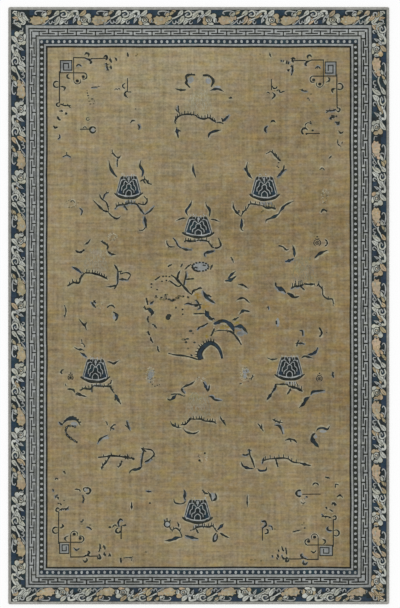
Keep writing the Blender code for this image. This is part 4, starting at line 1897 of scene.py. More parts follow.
SCATTERED_SPRIGS: tuple[Motif, ...] = (
    Ruled(((127.4, 78.6), (127.4, 91.8)), 0.95),
    Curl((124.7, 86.1), 2.2, 80, 200, 1.5),
    Blade(((127, 90.5), (124.7, 94.3), (128, 98)), 2.4, 0.5),
    Twig(((128, 92), (131.4, 92)), 0.9),
    Curl((116, 90.4), 1.4, 180, 180, 0.9),
    Curl((118.8, 89.9), 1.2, 190, 180, 0.9),
    Twig(((91, 87.4), (94, 86.9), (97.6, 87)), 0.9),
    Crumbs(((86.8, 90.5), (87.2, 93), (88, 95.6), (88.6, 98), (89.2, 101.4), (92, 98.9), (94.4, 101),
            (93.6, 103.8), (90.4, 104), (98.6, 86.2), (135.8, 109), (137.4, 54), (136, 55.6), (105.4, 66),
            (107.6, 64.6)), 0.7),
    Speckle((112.2, 236.7), (5.2, 4.2), 44),
    Twig(((127.4, 52.4), (128, 56.8)), 1.7),
    Twig(((115.2, 58.2), (116.8, 60.8)), 1.4),
    Leaf((110.4, 57.4), (111.6, 63), 1.8, 0.15),
    Twig(((106.4, 63.4), (107, 67), (108.4, 70.6)), 0.9, 1),
    Twig(((110.6, 65.4), (111.2, 69.2)), 1.6),
    Twig(((61.1, 109.9), (62.8, 111.8)), 1.7),
    Twig(((65.5, 112.4), (67.4, 114.3)), 1.8),
    Twig(((58.3, 116.4), (58.8, 119), (60.8, 119.9)), 1.7),
    Twig(((53.4, 125.6), (55.4, 127.6), (57.6, 126.6)), 1.9),
    Twig(((59.4, 134.3), (59.6, 137.4), (57.4, 139.2)), 1.1),
    Curl((88, 119), 1.6, 0, 300, 0.8),
    Ruled(((80.5, 129.3), (90, 129.3)), 0.95),
    Curl((85, 128.6), 1.7, 190, 170, 1.1),
    Bloom((93, 129.9), (2, 2), 0.4),
    Curl((93, 129.9), 2.9, 10, 330, 1.9),
    Blade(((130.4, 123), (132.4, 120.6), (135.6, 121)), 2.1, 0.4),
    Blade(((137.4, 124.2), (139.2, 126.6), (138.4, 130)), 2.1, 0.5),
    Twig(((62.6, 157), (66.8, 155.2), (71, 157.4)), 1.1, 1),
    Crumbs(((260, 54), (300.8, 89.6), (311.4, 94), (308.2, 98.2), (309.4, 100), (274.8, 90.8),
            (283.6, 91.4)), 0.8),
    Blade(((269.8, 52.2), (270, 54.6), (271.2, 57.2)), 2, 0.5),
    Twig(((281.2, 59.6), (281.6, 62)), 1.2),
    Twig(((287.2, 60.2), (286.6, 64)), 1.6),
    Twig(((291.6, 65), (293, 70), (291.4, 75.6)), 1.2),
    Twig(((287.8, 69), (288.6, 71.2)), 1.5),
    Ruled(((271.4, 79.4), (271.4, 89.4)), 0.95),
    Curl((274.8, 86.2), 2.3, 0, 190, 1.6),
    Blade(((272.4, 92.2), (274.8, 95.4), (271.6, 99.4)), 2.4, 0.5),
    Twig(((267.4, 91.8), (269.8, 93.4)), 1.1),
    Twig(((276.6, 91), (278.8, 89.8), (280.6, 92.6), (283.4, 91.4)), 1.3),
    Twig(((301, 89.6), (304, 90.8), (307.8, 91)), 1.3),
    Twig(((330.8, 115.4), (335.6, 116.2)), 1.1),
    Twig(((329.4, 118.8), (331.6, 117.2), (334.2, 117.6)), 1.8),
    Twig(((335.2, 121.8), (337.4, 123), (338.6, 121.8)), 1.8),
    Blade(((338.4, 130.6), (341, 133.2), (343.6, 131.4)), 2, 0.5),
    Twig(((338, 139.6), (338.2, 144.2), (340.6, 146)), 1.1),
    Twig(((342.6, 141.8), (342, 144.2)), 0.9),
    Blade(((270.2, 122.6), (273, 120.8), (275.6, 122.6)), 2.5, 0.5),
    Blade(((268, 126), (265, 129), (266.4, 133.4)), 2.5, 0.5),
    Curl((304.6, 131.4), 3, 110, 230, 2),
    Curl((308.2, 126), 3.2, 140, 190, 1),
    Ruled(((307.6, 133.4), (319.4, 133.4)), 0.9),
    Dots(((312.6, 130.4), (306.4, 133.8)), 1.2),
    Twig(((309.8, 121), (311.4, 124)), 1),
    Leaf((328.6, 158.4), (332, 155.6), 1.5, 0.05),
    Twig(((319.6, 169.6), (322.2, 167.8), (324.6, 170)), 1),
    Leaf((228, 98), (232.4, 98.4), 1.4, 0),
    Twig(((79.6, 208), (82.2, 211), (80.8, 215.4)), 1.2),
    Twig(((321, 212.6), (323.4, 209.6), (327.4, 211.4)), 1.9),
    Moth((317.2, 242.7), 3.4),
    Curl((323.8, 242.8), 3.4, -75, 150, 1.5),
    Twig(((268.2, 306), (268.8, 309.8)), 0.9),
    Twig(((64.4, 305), (66, 311), (64.6, 317.4)), 1.1),
    Twig(((91.4, 302.2), (93.8, 305.4), (95.8, 307.6)), 1.8),
    Twig(((93.4, 300.4), (95.8, 303.2)), 1.4),
    Speckle((101, 306), (4, 4), 16),
    Speckle((71.4, 203.6), (7, 4.6), 34),
    Twig(((70.4, 201), (73, 200.6), (75, 202.8)), 0.6),
    Speckle((325, 195.6), (4, 7.6), 30),
    Twig(((107, 307.8), (108.6, 306.2), (111, 305.4), (113.2, 306.2), (114.8, 308.2)), 1.4),
    Bloom((114.4, 316.8), (2, 2.8), 0.3),
    Blade(((112.8, 311.8), (115.2, 313.2), (117, 316), (116.8, 318.8), (115, 321)), 3.2, 0.5),
    Speckle((202.4, 457), (5.6, 5.6), 22),
    Dots(((204.7, 453.3), (199.4, 460.4), (230.8, 97.6)), 1.1),
    Bloom((150.8, 372.4), (3.2, 5), 0.16),
    Bloom((149.4, 379), (2.4, 3.6), 0.16),
    Speckle((150.8, 375.4), (5, 8.5), 60),
    Dots(((150.8, 382.2), (152.4, 384.6), (155, 386.4), (157.4, 385.4), (159.6, 384.8)), 0.6),
    Bloom((245.6, 371.4), (3.4, 3), 0.16),
    Bloom((244.8, 376.4), (2.2, 3), 0.16),
    Speckle((244.8, 374.2), (5, 7.6), 56),
    Dots(((246.4, 378), (249.4, 379), (248, 381.4)), 0.6),
    Twig(((252.2, 375), (252.8, 376.8), (251, 378.6), (251.4, 380.2)), 1.2),
    Twig(((239, 384), (241.6, 383.6)), 0.9),
    Bloom((86.6, 489.8), (1.8, 1.8), 0.3),
    Curl((87.4, 490.6), 2.9, 250, 230, 2.1),
    Curl((85.4, 489.4), 1.9, 90, 240, 1.2),
    Twig(((74.6, 489.4), (79.2, 489.6), (80.4, 491.8)), 1.2),
    Beads(((82.7, 495.8), (83.6, 499), (82.7, 502.2)), 1.9),
    Bloom((299.4, 493.4), (2.2, 2.2), 0.3),
    Curl((299.2, 493.4), 3, 60, 240, 2.2),
    Ruled(((302.6, 494.4), (320, 494.4)), 0.9),
    Twig(((305.6, 496.6), (307.6, 497.4)), 1.4),
    Speckle((303, 501.8), (3, 3.4), 18),
    Curl((303, 501), 2.4, 20, 140, 1),
    Leaf((146, 490.8), (151.8, 491.6), 1.5, 0.05),
    Dots(((150, 503),), 0.9),
    Twig(((62.8, 472.2), (64.6, 471.8), (65.2, 474)), 1.2),
    Twig(((55, 479.8), (56.4, 478.2), (58.2, 479.6)), 1.2),
    Twig(((52.8, 488.6), (53.6, 491.4)), 1.3),
    Twig(((56.4, 497.2), (58.2, 497.6), (58, 499.8)), 1.2),
    Twig(((59.6, 503.4), (61.4, 505.4)), 1.3),
    Blade(((131.6, 501.8), (131.6, 505), (131.8, 509.8)), 2.3, 0.6),
    Blade(((247.4, 494.4), (247.3, 501.4), (247.6, 507)), 1.7, 0.6),
    Ruled(((121.4, 526.4), (121.2, 538.8)), 0.95),
    Twig(((119.2, 527), (118.2, 522.8), (120.4, 519.4), (122.8, 520.8)), 1.6),
    Curl((118.2, 530.8), 2.3, 0, 270, 2),
    Twig(((122, 525.8), (126.4, 525.8)), 1),
    Twig(((112.2, 527.8), (114.8, 525.2), (117.4, 526.8)), 1.1),
    Dots(((109.8, 527.4), (124.6, 525.6)), 1.3),
    Ruled(((262.4, 528), (262.4, 540.2)), 0.95),
    Twig(((261.8, 521.4), (265.2, 521.4), (266.2, 525), (262.8, 528)), 1.7),
    Curl((265.8, 531.4), 2.3, -80, 200, 1.9),
    Twig(((268.4, 526), (271.4, 526.4), (272.6, 530)), 1.1),
    Twig(((86.4, 526.8), (89, 527.6), (91.6, 529.8)), 1.4),
    Crumbs(((81.4, 521.6), (82.8, 520), (81.6, 524), (124.2, 557.8), (251, 560), (255, 560), (261, 560.8),
            (274.8, 529), (90, 525), (146, 552), (302, 524.8), (303.8, 523), (304.6, 528), (293.6, 531.4)),
            0.9),
    Twig(((120.6, 557.8), (121, 563)), 1.8),
    Twig(((124.6, 557.6), (131.6, 557.6), (131.4, 560.6)), 0.9),
    Twig(((292.4, 532.2), (296, 531), (300.4, 530)), 1.3),
    Twig(((335.2, 488), (335.9, 484.4), (338.8, 484.8)), 1.2),
    Blade(((336.4, 497.2), (339.6, 495.2), (342.8, 497.4)), 2.2, 0.5),
    Twig(((331.4, 504.6), (334, 503), (336.2, 505.2)), 1.6),
    Curl((315.6, 486.2), 2.9, 190, 160, 1.5),
    Twig(((325.2, 507), (326.6, 508.4)), 1.6),
    Twig(((329.2, 509.6), (332.4, 511.2)), 1.2),
    Twig(((278.4, 549.4), (279, 551.8)), 1.5),
    Twig(((281.6, 546), (283.8, 551.4)), 1.1),
    Twig(((272.2, 555), (272.8, 557.4)), 1.5),
    Twig(((277.4, 554.2), (278.6, 557.6)), 1.9),
    Blade(((281.4, 555.6), (284, 558.8), (286.4, 557.8)), 2.3, 0.5),
    Twig(((99.6, 543.6), (101.2, 549.2)), 1.1),
    Twig(((104.6, 546.2), (105.2, 549.8)), 1.7),
    Twig(((104.2, 553.2), (105.4, 556.2)), 1.7),
    Twig(((109.2, 553.6), (110.8, 556.6)), 1.6),
)

MIDDLE_MOTIF: tuple[Motif, ...] = (
    Stain((224.6, 327.6), (4.2, 2.6), 0.05), Stain((237.2, 322.8), (2.6, 1.5), 0.05),
    Stain((197, 296), (3.4, 3), 0.45), Stain((206.4, 336.6), (2.4, 1.6), 0.25),
    Stain((205, 306), (4, 3), 0.6),
    Twig(((167.6, 267), (169.4, 265.6), (171.8, 264.8)), 1.5),
    Twig(((154.8, 280.4), (157.6, 278.4), (160.2, 276.6)), 1.3),
    Dots(((163.2, 276.6), (166.2, 276.4), (169.4, 276.8), (162, 281.4), (166.4, 280.6), (151.6, 284.2),
          (151.4, 287.4), (157.2, 289.8)), 1),
    Twig(((171, 275), (176, 278.6), (180.4, 283.2), (185, 288), (189, 292.4), (192.2, 294.8)), 2.1),
    Twig(((169.4, 280.6), (174, 284), (178.4, 286.6), (181.6, 285)), 1.4),
    Leaf((177.8, 280.2), (180.4, 270.2), 2.2, -0.10),
    Twig(((180.6, 267.4), (182.4, 263.8)), 1.5),
    Twig(((184, 285.4), (184.8, 281), (186, 276.4), (185.8, 271.6)), 1.6),
    Twig(((185.6, 279.6), (189.4, 279.2), (194.4, 278.8)), 1.4),
    Twig(((185.4, 269.2), (187.8, 266.6), (191, 264.4)), 1.4),
    FlowerRing((200.4, 266.8), (8.2, 4.4), 15),
    Twig(((210.4, 269.4), (211.2, 267), (212.8, 264.4)), 1.7),
    Twig(((192, 294.6), (193.6, 290.8), (197, 289.6), (199.4, 288.2), (202.4, 288.2)), 1.6),
    Leaf((203, 290.6), (215.4, 303.4), 3.4, 0.10),
    Twig(((206.4, 294.6), (208.8, 295.2), (211.6, 297)), 1.6),
    Twig(((184.2, 304.4), (188, 303.4), (193, 305), (201.6, 304.4)), 1.3),
    Twig(((196, 299.8), (198.8, 303.8), (200.2, 307.6), (197.4, 309.4)), 1.5),
    Leaf((193.8, 306.2), (199, 305.4), 1.2, 0.1),
    Twig(((193, 314), (199, 313.6), (204.6, 313.4)), 1.3),
    Leaf((205.4, 309.8), (212.6, 320.4), 4.2, 0.10),
    Twig(((209.4, 319.2), (211.6, 318.8), (214.2, 318.2)), 1.7),
    Twig(((205.8, 311.4), (209.4, 312)), 1.4),
    Crumbs(((164, 299.6), (165.6, 297), (166.4, 294.6), (172, 300.6), (174.4, 299.8), (177.2, 297.8),
            (179.4, 296.2), (182.8, 296.6), (156, 297.4), (169, 299.4), (160.6, 299.4), (188.4, 297.6),
            (183.2, 339.4), (187.4, 338.8), (188, 348.4), (190.4, 331), (192.8, 333.4), (186, 342.4),
            (194.6, 342.4)), 1.25),
    Dots(((156, 296), (161.4, 297.6), (165.4, 295), (166.2, 298.8), (173.4, 300), (178.6, 298),
          (183.6, 296.4), (188, 297.2), (175.8, 307.6), (182.4, 309.4), (182.6, 314.2), (185, 339.6),
          (186, 342)), 1.05),
    Twig(((146.2, 297.8), (147, 301.2), (147.6, 305)), 1.6),
    Leaf((150, 304), (153.8, 300.8), 2, 0),
    Twig(((144.4, 305.8), (145.8, 309.2), (150, 308)), 1.4),
    Leaf((148.6, 307.8), (153.8, 313.6), 4.4, 0.06),
    Leaf((154, 311.4), (150.8, 316.2), 2.6, 0.1),
    Twig(((148.4, 316), (147.6, 319), (148.6, 322.4)), 1.7),
    Twig(((152, 324), (154.6, 325.4), (156.4, 328.4)), 1.4),
    Twig(((148, 331), (148.4, 333), (149.6, 335.2)), 1.7),
    Twig(((150.4, 337), (151.2, 340), (153, 342.6)), 1.7),
    Twig(((157.6, 346), (157.8, 349.4), (159.2, 352)), 1.5),
    Dots(((167.8, 317), (167.8, 318), (168.8, 315.6)), 2.2),
    Twig(((168, 353), (176, 354.8), (184, 355.8), (190, 357), (198, 359.6)), 1.5),
    Twig(((190.4, 354.6), (192.6, 356)), 1.4),
    Blade(((213.4, 323.6), (218.6, 321.4), (224.6, 321), (229.4, 323.6), (232.6, 327.6), (234.6, 333.4)),
          4.6, 0.62),
    Leaf((213.4, 323.8), (222.4, 321.4), 3.2, 0),
    Twig(((214.4, 331.4), (219, 330.3), (226, 330.5), (231, 332.2)), 1),
    Leaf((232.2, 320.2), (239, 317), 2.2, 0.05),
    Leaf((239.4, 314.4), (250.6, 312), 2.7, -0.24),
    Bloom((240.6, 333.6), (5, 2.6), 0.1),
    Leaf((233.8, 327), (248.2, 333.4), 3.7, -0.22),
    Twig(((226, 330.4), (230, 331.2), (233.8, 333.8), (237.4, 338.4), (241.6, 345)), 1.8),
    Leaf((236, 300.4), (250.4, 303.4), 1.9, -0.26),
    Leaf((238, 284.2), (248.6, 288.8), 2, -0.10),
    Leaf((228, 279), (235.8, 271.2), 2.6, -0.05),
    Leaf((225, 280.8), (236.6, 275.8), 3.2, 0.12),
    Twig(((230.6, 257), (232.6, 259.4), (233.4, 262.8)), 1.1),
    Twig(((197.4, 329.8), (199, 327.4), (203.4, 325.4), (208, 322.8)), 1.5),
    Twig(((214.6, 328.2), (212.8, 332.2), (211.2, 335.8)), 1.8),
)


@dataclass(frozen=True)
class ToothedArch(Motif):
    """The dark arch with teeth at the foot of the middle motif, thick at one end and thin at the other."""

    path: Path = (
        (201, 359.6), (199.6, 354.4), (201.4, 349.6), (205.4, 345.4), (210.4, 342.8), (215.6, 344.8),
        (219.4, 349), (221.2, 353.6), (222.2, 358.6),
    )
    middle: Point = (212, 357)
    width: float = 5.6
    teeth: int = 12
    tooth_length: float = 4.9
    tooth_width: float = 2.4
    toothed_share: float = 0.62

    def draw(self, pen: Pen, rng: random.Random) -> None:
        """Draws the pale line round the arch, the teeth on its thicker part and the arch."""
        curve = smooth(self.path, pen.step)
        pen.below().ribbon(Wool.FADED, curve, self.width + 3.2, self.thinning, 0.85)
        for i in range(self.teeth):
            x, y = curve[round((i + 0.3) / self.teeth * self.toothed_share * (len(curve) - 1))]
            dx, dy = x - self.middle[0], y - self.middle[1]
            share = (self.tooth_length + rng.uniform(-0.3, 0.9)) / math.hypot(dx, dy)
            tooth = ((x, y), (x + dx * share, y + dy * share))
            pen.ribbon(Wool.INK, tooth, self.tooth_width, self.pointed, 0.2)
        pen.ribbon(Wool.INK, curve, self.width, self.thinning, 0)
        pen.ribbon(Wool.NAVY, curve[1:-1], self.width - 2, uneven(self.thinning, rng), 0.3)

    def thinning(self, t: float) -> float:
        """The arch's share of its width at a place from 0 to 1."""
        return 1.0 - 0.62 * t ** 1.6

    def pointed(self, t: float) -> float:
        """A tooth's share of its width from its foot, 0, to its point, 1."""
        return max(0.2, 1.0 - t)


@dataclass
class FieldMotifs:
    """Everything that is drawn on the gold field."""

    groups: tuple[tuple[Motif, ...], ...] = (
        SCATTERED_SPRIGS, FADED_MOUNDS, TOP_MIDDLE_SPRAYS, FADED_LEFT_SPRAYS, FADED_RIGHT_SPRAYS,
        FADED_LOWER_SPRAYS, MIDDLE_MOTIF, LOWER_BRANCHES, UPPER_LEFT_SPRAYS, UPPER_RIGHT_SPRAYS,
        UPPER_MIDDLE_SPRAYS, MIDDLE_LEFT_SPRAYS, MIDDLE_RIGHT_SPRAYS, LOWER_MIDDLE_SPRAYS, MOUNDS,
    )

    def draw(self, plan: KnotPlan, rng: random.Random) -> None:
        """Draws every group with a pen that counts squares from the photograph's upper left corner.

        Args:
            plan: The plan to draw on.
            rng: The source of the motifs' unevenness.
        """
        pen = Pen(plan, on_rug((0, 0)))
        first = len(plan.outlines)
        for fret in CORNER_FRETS:
            fret.draw(pen, rng)
        for group in self.groups:
            for part in group:
                part.draw(pen, rng)
        ToothedArch().draw(pen, rng)
        plan.settle(first)


def linked(name: str, data: bpy.types.ID) -> bpy.types.Object:
    """Makes an object of a mesh, a lamp or a camera and puts it into the scene.

    Args:
        name: The object's name.
        data: Its mesh, lamp or camera.

    Returns:
        The object.
    """
    made = bpy.data.objects.new(name, data)
    bpy.context.scene.collection.objects.link(made)
    return made


def add_node(
    tree: bpy.types.NodeTree, kind: str, settings: dict[str, object] | None = None,
    inputs: dict[str | int, object] | None = None,
) -> bpy.types.Node:
    """Adds a node with its settings and links.

    Args:
        tree: The material's or world's node tree.
        kind: The node's type name.
        settings: Its properties by name.
        inputs: A value, or a socket to link, for each input that isn't left as it is.

    Returns:
        The node.
    """
    node = tree.nodes.new(kind)
    for name, value in (settings or {}).items():
        setattr(node, name, value)
    for name, value in (inputs or {}).items():
        if isinstance(value, bpy.types.NodeSocket):
            tree.links.new(value, node.inputs[name])
        else:
            node.inputs[name].default_value = value
    return node


@dataclass(frozen=True)
class Streaks:
    """One layer of unevenness in the wool: how wide and how long its marks are in metres, and how strong.

    Each layer is cut from the noise at another place, so that no two layers are alike.
    """

    wide: float
    tall: float
    strength: float = 1.0
    detail: float = 2.0
    cut: float = 0.0


@dataclass(frozen=True)
class WoolFinish:
    """Hand-spun, vegetable-dyed wool pile, clipped low and worn by feet.

    It is matt with a faint soft bloom. Each bobbin took the dye a little differently, so the colour runs in
    thin streaks along the weft and the warp and in broad cloudy bands. The thin streaks are also partly
    painted shade: the light and shade of the rows of knots, laid into the colour. The real rows of knots are
    3.6 mm apart, too fine for a view of the whole rug, so the streaks are drawn four to five times as coarse.
    """

    wool: Wool
    # Its colours where the dye is deepest and palest, where it is worn, and in another dye lot.
    deep: str
    pale: str
    worn: str
    other_lot: str
    # How strongly it is worn, from 0 to 1, and how unevenly light it is against the layers below.
    wear: float
    unevenness: float
    roughness: float = 0.94
    specular: float = 0.25
    sheen: float = 0.05
    sheen_roughness: float = 0.6
    # The layers of lightness: thin weft streaks, thin warp streaks, fine grain, mottling and broad clouds.
    # The thin streaks are partly dye and partly painted shade of the rows of knots.
    layers: tuple[Streaks, ...] = (
        Streaks(0.320, 0.021, 0.46, 2, 0),
        Streaks(0.024, 0.400, 0.44, 2, 3.1),
        Streaks(0.016, 0.015, 0.52, 2, 6.2),
        Streaks(0.062, 0.048, 0.34, 2, 9.3),
        Streaks(0.330, 0.410, 0.26, 3, 12.4),
    )
    # Which spots took the other dye lot and which are worn, and how the hue and the purity drift.
    lots: Streaks = Streaks(0.150, 0.050, cut=15)
    clouds: Streaks = Streaks(0.055, 0.045, detail=3, cut=9)
    hues: Streaks = Streaks(0.110, 0.070, detail=3, cut=33)
    purities: Streaks = Streaks(0.140, 0.060, detail=3, cut=39)
    other_lot_share: float = 0.5
    # The tufts and the rows of knots, how strongly they show, and how deep they are in metres.
    tufts: Streaks = Streaks(0.0075, 0.0075, cut=21)
    rows: Streaks = Streaks(0.200, 0.0095, detail=1, cut=27)
    relief_strength: float = 0.7
    relief_depth: float = 0.0011

    def dress(self) -> bpy.types.Material:
        """Makes the wool's material.

        Returns:
            The material, which reads Object coordinates and the pile's own dye and halo attributes.
        """
        material = bpy.data.materials.new(f"hand_spun_{self.wool.value}")
        material.use_nodes = True
        tree = material.node_tree
        shader = tree.nodes["Principled BSDF"]
        coords = add_node(tree, "ShaderNodeTexCoord").outputs["Object"]
        # The lightness holds painted shade of the knot rows along with the dye's streaks and clouds.
        light = self.dye_and_row_shade(tree, coords)
        colour = self.colour(tree, coords)
        toned = add_node(
            tree, "ShaderNodeVectorMath", {"operation": "SCALE"}, {"Vector": colour, "Scale": light}
        )
        tree.links.new(toned.outputs["Vector"], shader.inputs["Base Color"])
        tree.links.new(self.relief(tree, coords), shader.inputs["Normal"])
        shader.inputs["Roughness"].default_value = self.roughness
        shader.inputs["Specular IOR Level"].default_value = self.specular
        shader.inputs["Sheen Weight"].default_value = self.sheen
        shader.inputs["Sheen Roughness"].default_value = self.sheen_roughness
        return material

    def noise(
        self, tree: bpy.types.NodeTree, coords: bpy.types.NodeSocket, layer: Streaks
    ) -> bpy.types.NodeSocket:
        """One layer of noise.

        Args:
            tree: The material's node tree.
            coords: The socket with the piece's Object coordinates.
            layer: The width and height of its marks, its detail and where it is cut from.

        Returns:
            The socket with the noise.
        """
        scaled = add_node(
            tree, "ShaderNodeVectorMath", {"operation": "MULTIPLY_ADD"},
            {0: coords, 1: (1 / layer.wide, 1 / layer.tall, 1.0), 2: (layer.cut, layer.cut * 1.7, layer.cut)},
        )
        found = add_node(
            tree, "ShaderNodeTexNoise", {"noise_dimensions": "3D"},
            {"Vector": scaled.outputs["Vector"], "Scale": 1.0, "Detail": layer.detail, "Roughness": 0.55},
        )
        return found.outputs["Fac"]

    def dye_and_row_shade(self, tree: bpy.types.NodeTree, coords: bpy.types.NodeSocket) -> bpy.types.NodeSocket:
        """How light each spot is against the wool's mean, from the dye and from painted shade of the knot
        rows.

        Args:
            tree: The material's node tree.
            coords: The socket with the piece's Object coordinates.

        Returns:
            The socket with the factor, which is near 1.
        """
        strength = sum(layer.strength for layer in self.layers)
        total: bpy.types.NodeSocket | float = 1 - strength * self.unevenness / 2
        for layer in self.layers:
            node = add_node(
                tree, "ShaderNodeMath", {"operation": "MULTIPLY_ADD"},
                {0: self.noise(tree, coords, layer), 1: layer.strength * self.unevenness, 2: total},
            )
            total = node.outputs["Value"]
        return total

    def colour(self, tree: bpy.types.NodeTree, coords: bpy.types.NodeSocket) -> bpy.types.NodeSocket:
        """The wool's colour between its deep and pale dye lots, with its worn patches and haloes.

        Args:
            tree: The material's node tree.
            coords: The socket with the piece's Object coordinates.

        Returns:
            The socket with the colour.
        """
        dye = add_node(tree, "ShaderNodeAttribute", {"attribute_name": "dye"}).outputs["Fac"]
        halo = add_node(tree, "ShaderNodeAttribute", {"attribute_name": "halo"}).outputs["Fac"]
        blended = add_node(
            tree, "ShaderNodeMix", {"data_type": "RGBA"},
            {MIX_SHARE: dye, MIX_FIRST: to_linear(self.deep), MIX_SECOND: to_linear(self.pale)},
        )
        lots = self.noise(tree, coords, self.lots)
        share = add_node(
            tree, "ShaderNodeMapRange", {"interpolation_type": "SMOOTHSTEP"},
            {"Value": lots, "From Min": 0.44, "From Max": 0.7, "To Min": 0.0, "To Max": self.other_lot_share},
        )
        dyed = add_node(
            tree, "ShaderNodeMix", {"data_type": "RGBA"},
            {MIX_SHARE: share.outputs["Result"], MIX_FIRST: blended.outputs[MIX_RESULT],
             MIX_SECOND: to_linear(self.other_lot)},
        )
        clouds = self.noise(tree, coords, self.clouds)
        worn = add_node(
            tree, "ShaderNodeMapRange", {"interpolation_type": "SMOOTHSTEP"},
            {"Value": clouds, "From Min": 0.44, "From Max": 0.72, "To Min": 0.0, "To Max": self.wear},
        )
        both = add_node(
            tree, "ShaderNodeMath", {"operation": "MAXIMUM"}, {0: worn.outputs["Result"], 1: halo}
        )
        mixed = add_node(
            tree, "ShaderNodeMix", {"data_type": "RGBA"},
            {MIX_SHARE: both.outputs["Value"], MIX_FIRST: dyed.outputs[MIX_RESULT],
             MIX_SECOND: to_linear(self.worn)},
        )
        return self.drifted(tree, coords, mixed.outputs[MIX_RESULT])

    def drifted(
        self, tree: bpy.types.NodeTree, coords: bpy.types.NodeSocket, colour: bpy.types.NodeSocket
    ) -> bpy.types.NodeSocket:
        """The colour a little redder or greener, and purer or greyer, from one bobbin to the next.

        Args:
            tree: The material's node tree.
            coords: The socket with the piece's Object coordinates.
            colour: The socket with the colour as dyed.

        Returns:
            The socket with the drifted colour.
        """
        hue = add_node(
            tree, "ShaderNodeMath", {"operation": "MULTIPLY_ADD"},
            {0: self.noise(tree, coords, self.hues), 1: 0.06, 2: 0.474},
        )
        purity = add_node(
            tree, "ShaderNodeMath", {"operation": "MULTIPLY_ADD"},
            {0: self.noise(tree, coords, self.purities), 1: 0.6, 2: 0.745},
        )
        moved = add_node(
            tree, "ShaderNodeHueSaturation", None,
            {"Hue": hue.outputs["Value"], "Saturation": purity.outputs["Value"], "Color": colour},
        )
        return moved.outputs["Color"]

    def relief(self, tree: bpy.types.NodeTree, coords: bpy.types.NodeSocket) -> bpy.types.NodeSocket:
        """The low relief of the knots' rows and tufts, drawn at about twice their size.

        Args:
            tree: The material's node tree.
            coords: The socket with the piece's Object coordinates.

        Returns:
            The socket with the normal.
        """
        tufts = self.noise(tree, coords, self.tufts)
        rows = self.noise(tree, coords, self.rows)
        height = add_node(tree, "ShaderNodeMath", {"operation": "ADD"}, {0: tufts, 1: rows}).outputs["Value"]
        bump = add_node(
            tree, "ShaderNodeBump", None,
            {"Height": height, "Strength": self.relief_strength, "Distance": self.relief_depth},
        )
        return bump.outputs["Normal"]


WOOL_FINISHES: tuple[WoolFinish, ...] = (
    WoolFinish(Wool.FIELD, "7d6a4c", "988b6f", "939081", "937f55", 0.34, 1.45),
    WoolFinish(Wool.GUARD, "706f6a", "a2a19b", "9a9a94", "8d9187", 0.3, 1.3),
    WoolFinish(Wool.NAVY, "1b2121", "2a3e52", "4d585c", "203a40", 0.2, 1.2),
    WoolFinish(Wool.INK, "131614", "353932", "46483f", "2b2f28", 0.3, 1.2),
    WoolFinish(Wool.SILVER, "6e706e", "a3a7a6", "83857f", "94968f", 0.4, 1.2),
    WoolFinish(Wool.IVORY, "8f9083", "b9bcb6", "8b8c82", "a6a38a", 0.4, 1.3),
    WoolFinish(Wool.APRICOT, "8f866c", "ad9982", "938e7c", "9c8b68", 0.5, 1.4),
    WoolFinish(Wool.FADED, "4f4835", "a49d87", "8a7f66", "80764f", 0.4, 1.2),
    WoolFinish(Wool.OCHRE, "7d7030", "96744e", "8f7d55", "8a6f3c", 0.4, 1.2),
)


# Paler worn places in the field and a few darker ones: where each lies and its radius in squares, and how
# much it lifts or lowers the tone. They were set by comparing the render's tones with the photograph's, some
# of them by the median tone of large cells.
PALE_PATCHES: tuple[tuple[Point, float, float], ...] = (
    ((206, 281), 13, 1.5), ((200, 68), 46, 1.4), ((68, 90), 22, 0.5), ((200, 552), 60, 0.6),
    ((120, 120), 16, 0.5), ((140, 90), 26, 1), ((296, 92), 14, -0.6), ((328, 64), 18, -1),
    ((148, 334), 30, 0.8), ((326, 440), 26, 0.8), ((298, 500), 34, 1.2), ((100, 460), 20, -0.5),
)


def from_edge(x: float, y: float) -> float:
    """How far inside the rug's edge a place lies, in millimetres."""
    return min(RUG_WIDTH / 2 - abs(x), RUG_LENGTH / 2 - abs(y))


def waves(x: float, y: float, layers: tuple[Wave, ...]) -> float:
    """A smooth unevenness that is the sum of a few layers of noise.

    Args:
        x: The place across the rug, in millimetres.
        y: The place along it.
        layers: How wide and how long the waves of each layer are, where it is cut from, and its strength.

    Returns:
        The sum, which lies round 0.
    """
    return sum(
        strength * noise.noise(Vector((x / wide, y / tall, cut))) for wide, tall, cut, strength in layers
    )


def cloth_height(x: float, y: float) -> float:
    """How high the pile stands at a place, all in millimetres.

    Args:
        x: The place across the rug.
        y: The place along it.

    Returns:
        The height over the floor: low at the bound edge, then round the shoulder and gently uneven.
    """
    t = clamped((from_edge(x, y) - SHOULDER_START) / SHOULDER_WIDTH)
    low = BODY_EDGE_HEIGHT + PILE_FOOT
    swell = waves(x, y, CLOTH_WAVES)
    return low + (PILE_HEIGHT - low) * math.sqrt(1 - (1 - t) ** 2) + swell * t


def wander(x: float, y: float) -> Point:
    """Where a place of the plan comes to lie, because a hand-knotted line is never quite straight.

    Args:
        x: The place across the rug.
        y: The place along it.

    Returns:
        The new place.
    """
    reach = WANDER_REACH * clamped((from_edge(x, y) - WANDER_START) / WANDER_GROWTH)
    return (x + reach * waves(x, y, WANDER_ACROSS), y + reach * waves(x, y, WANDER_ALONG))


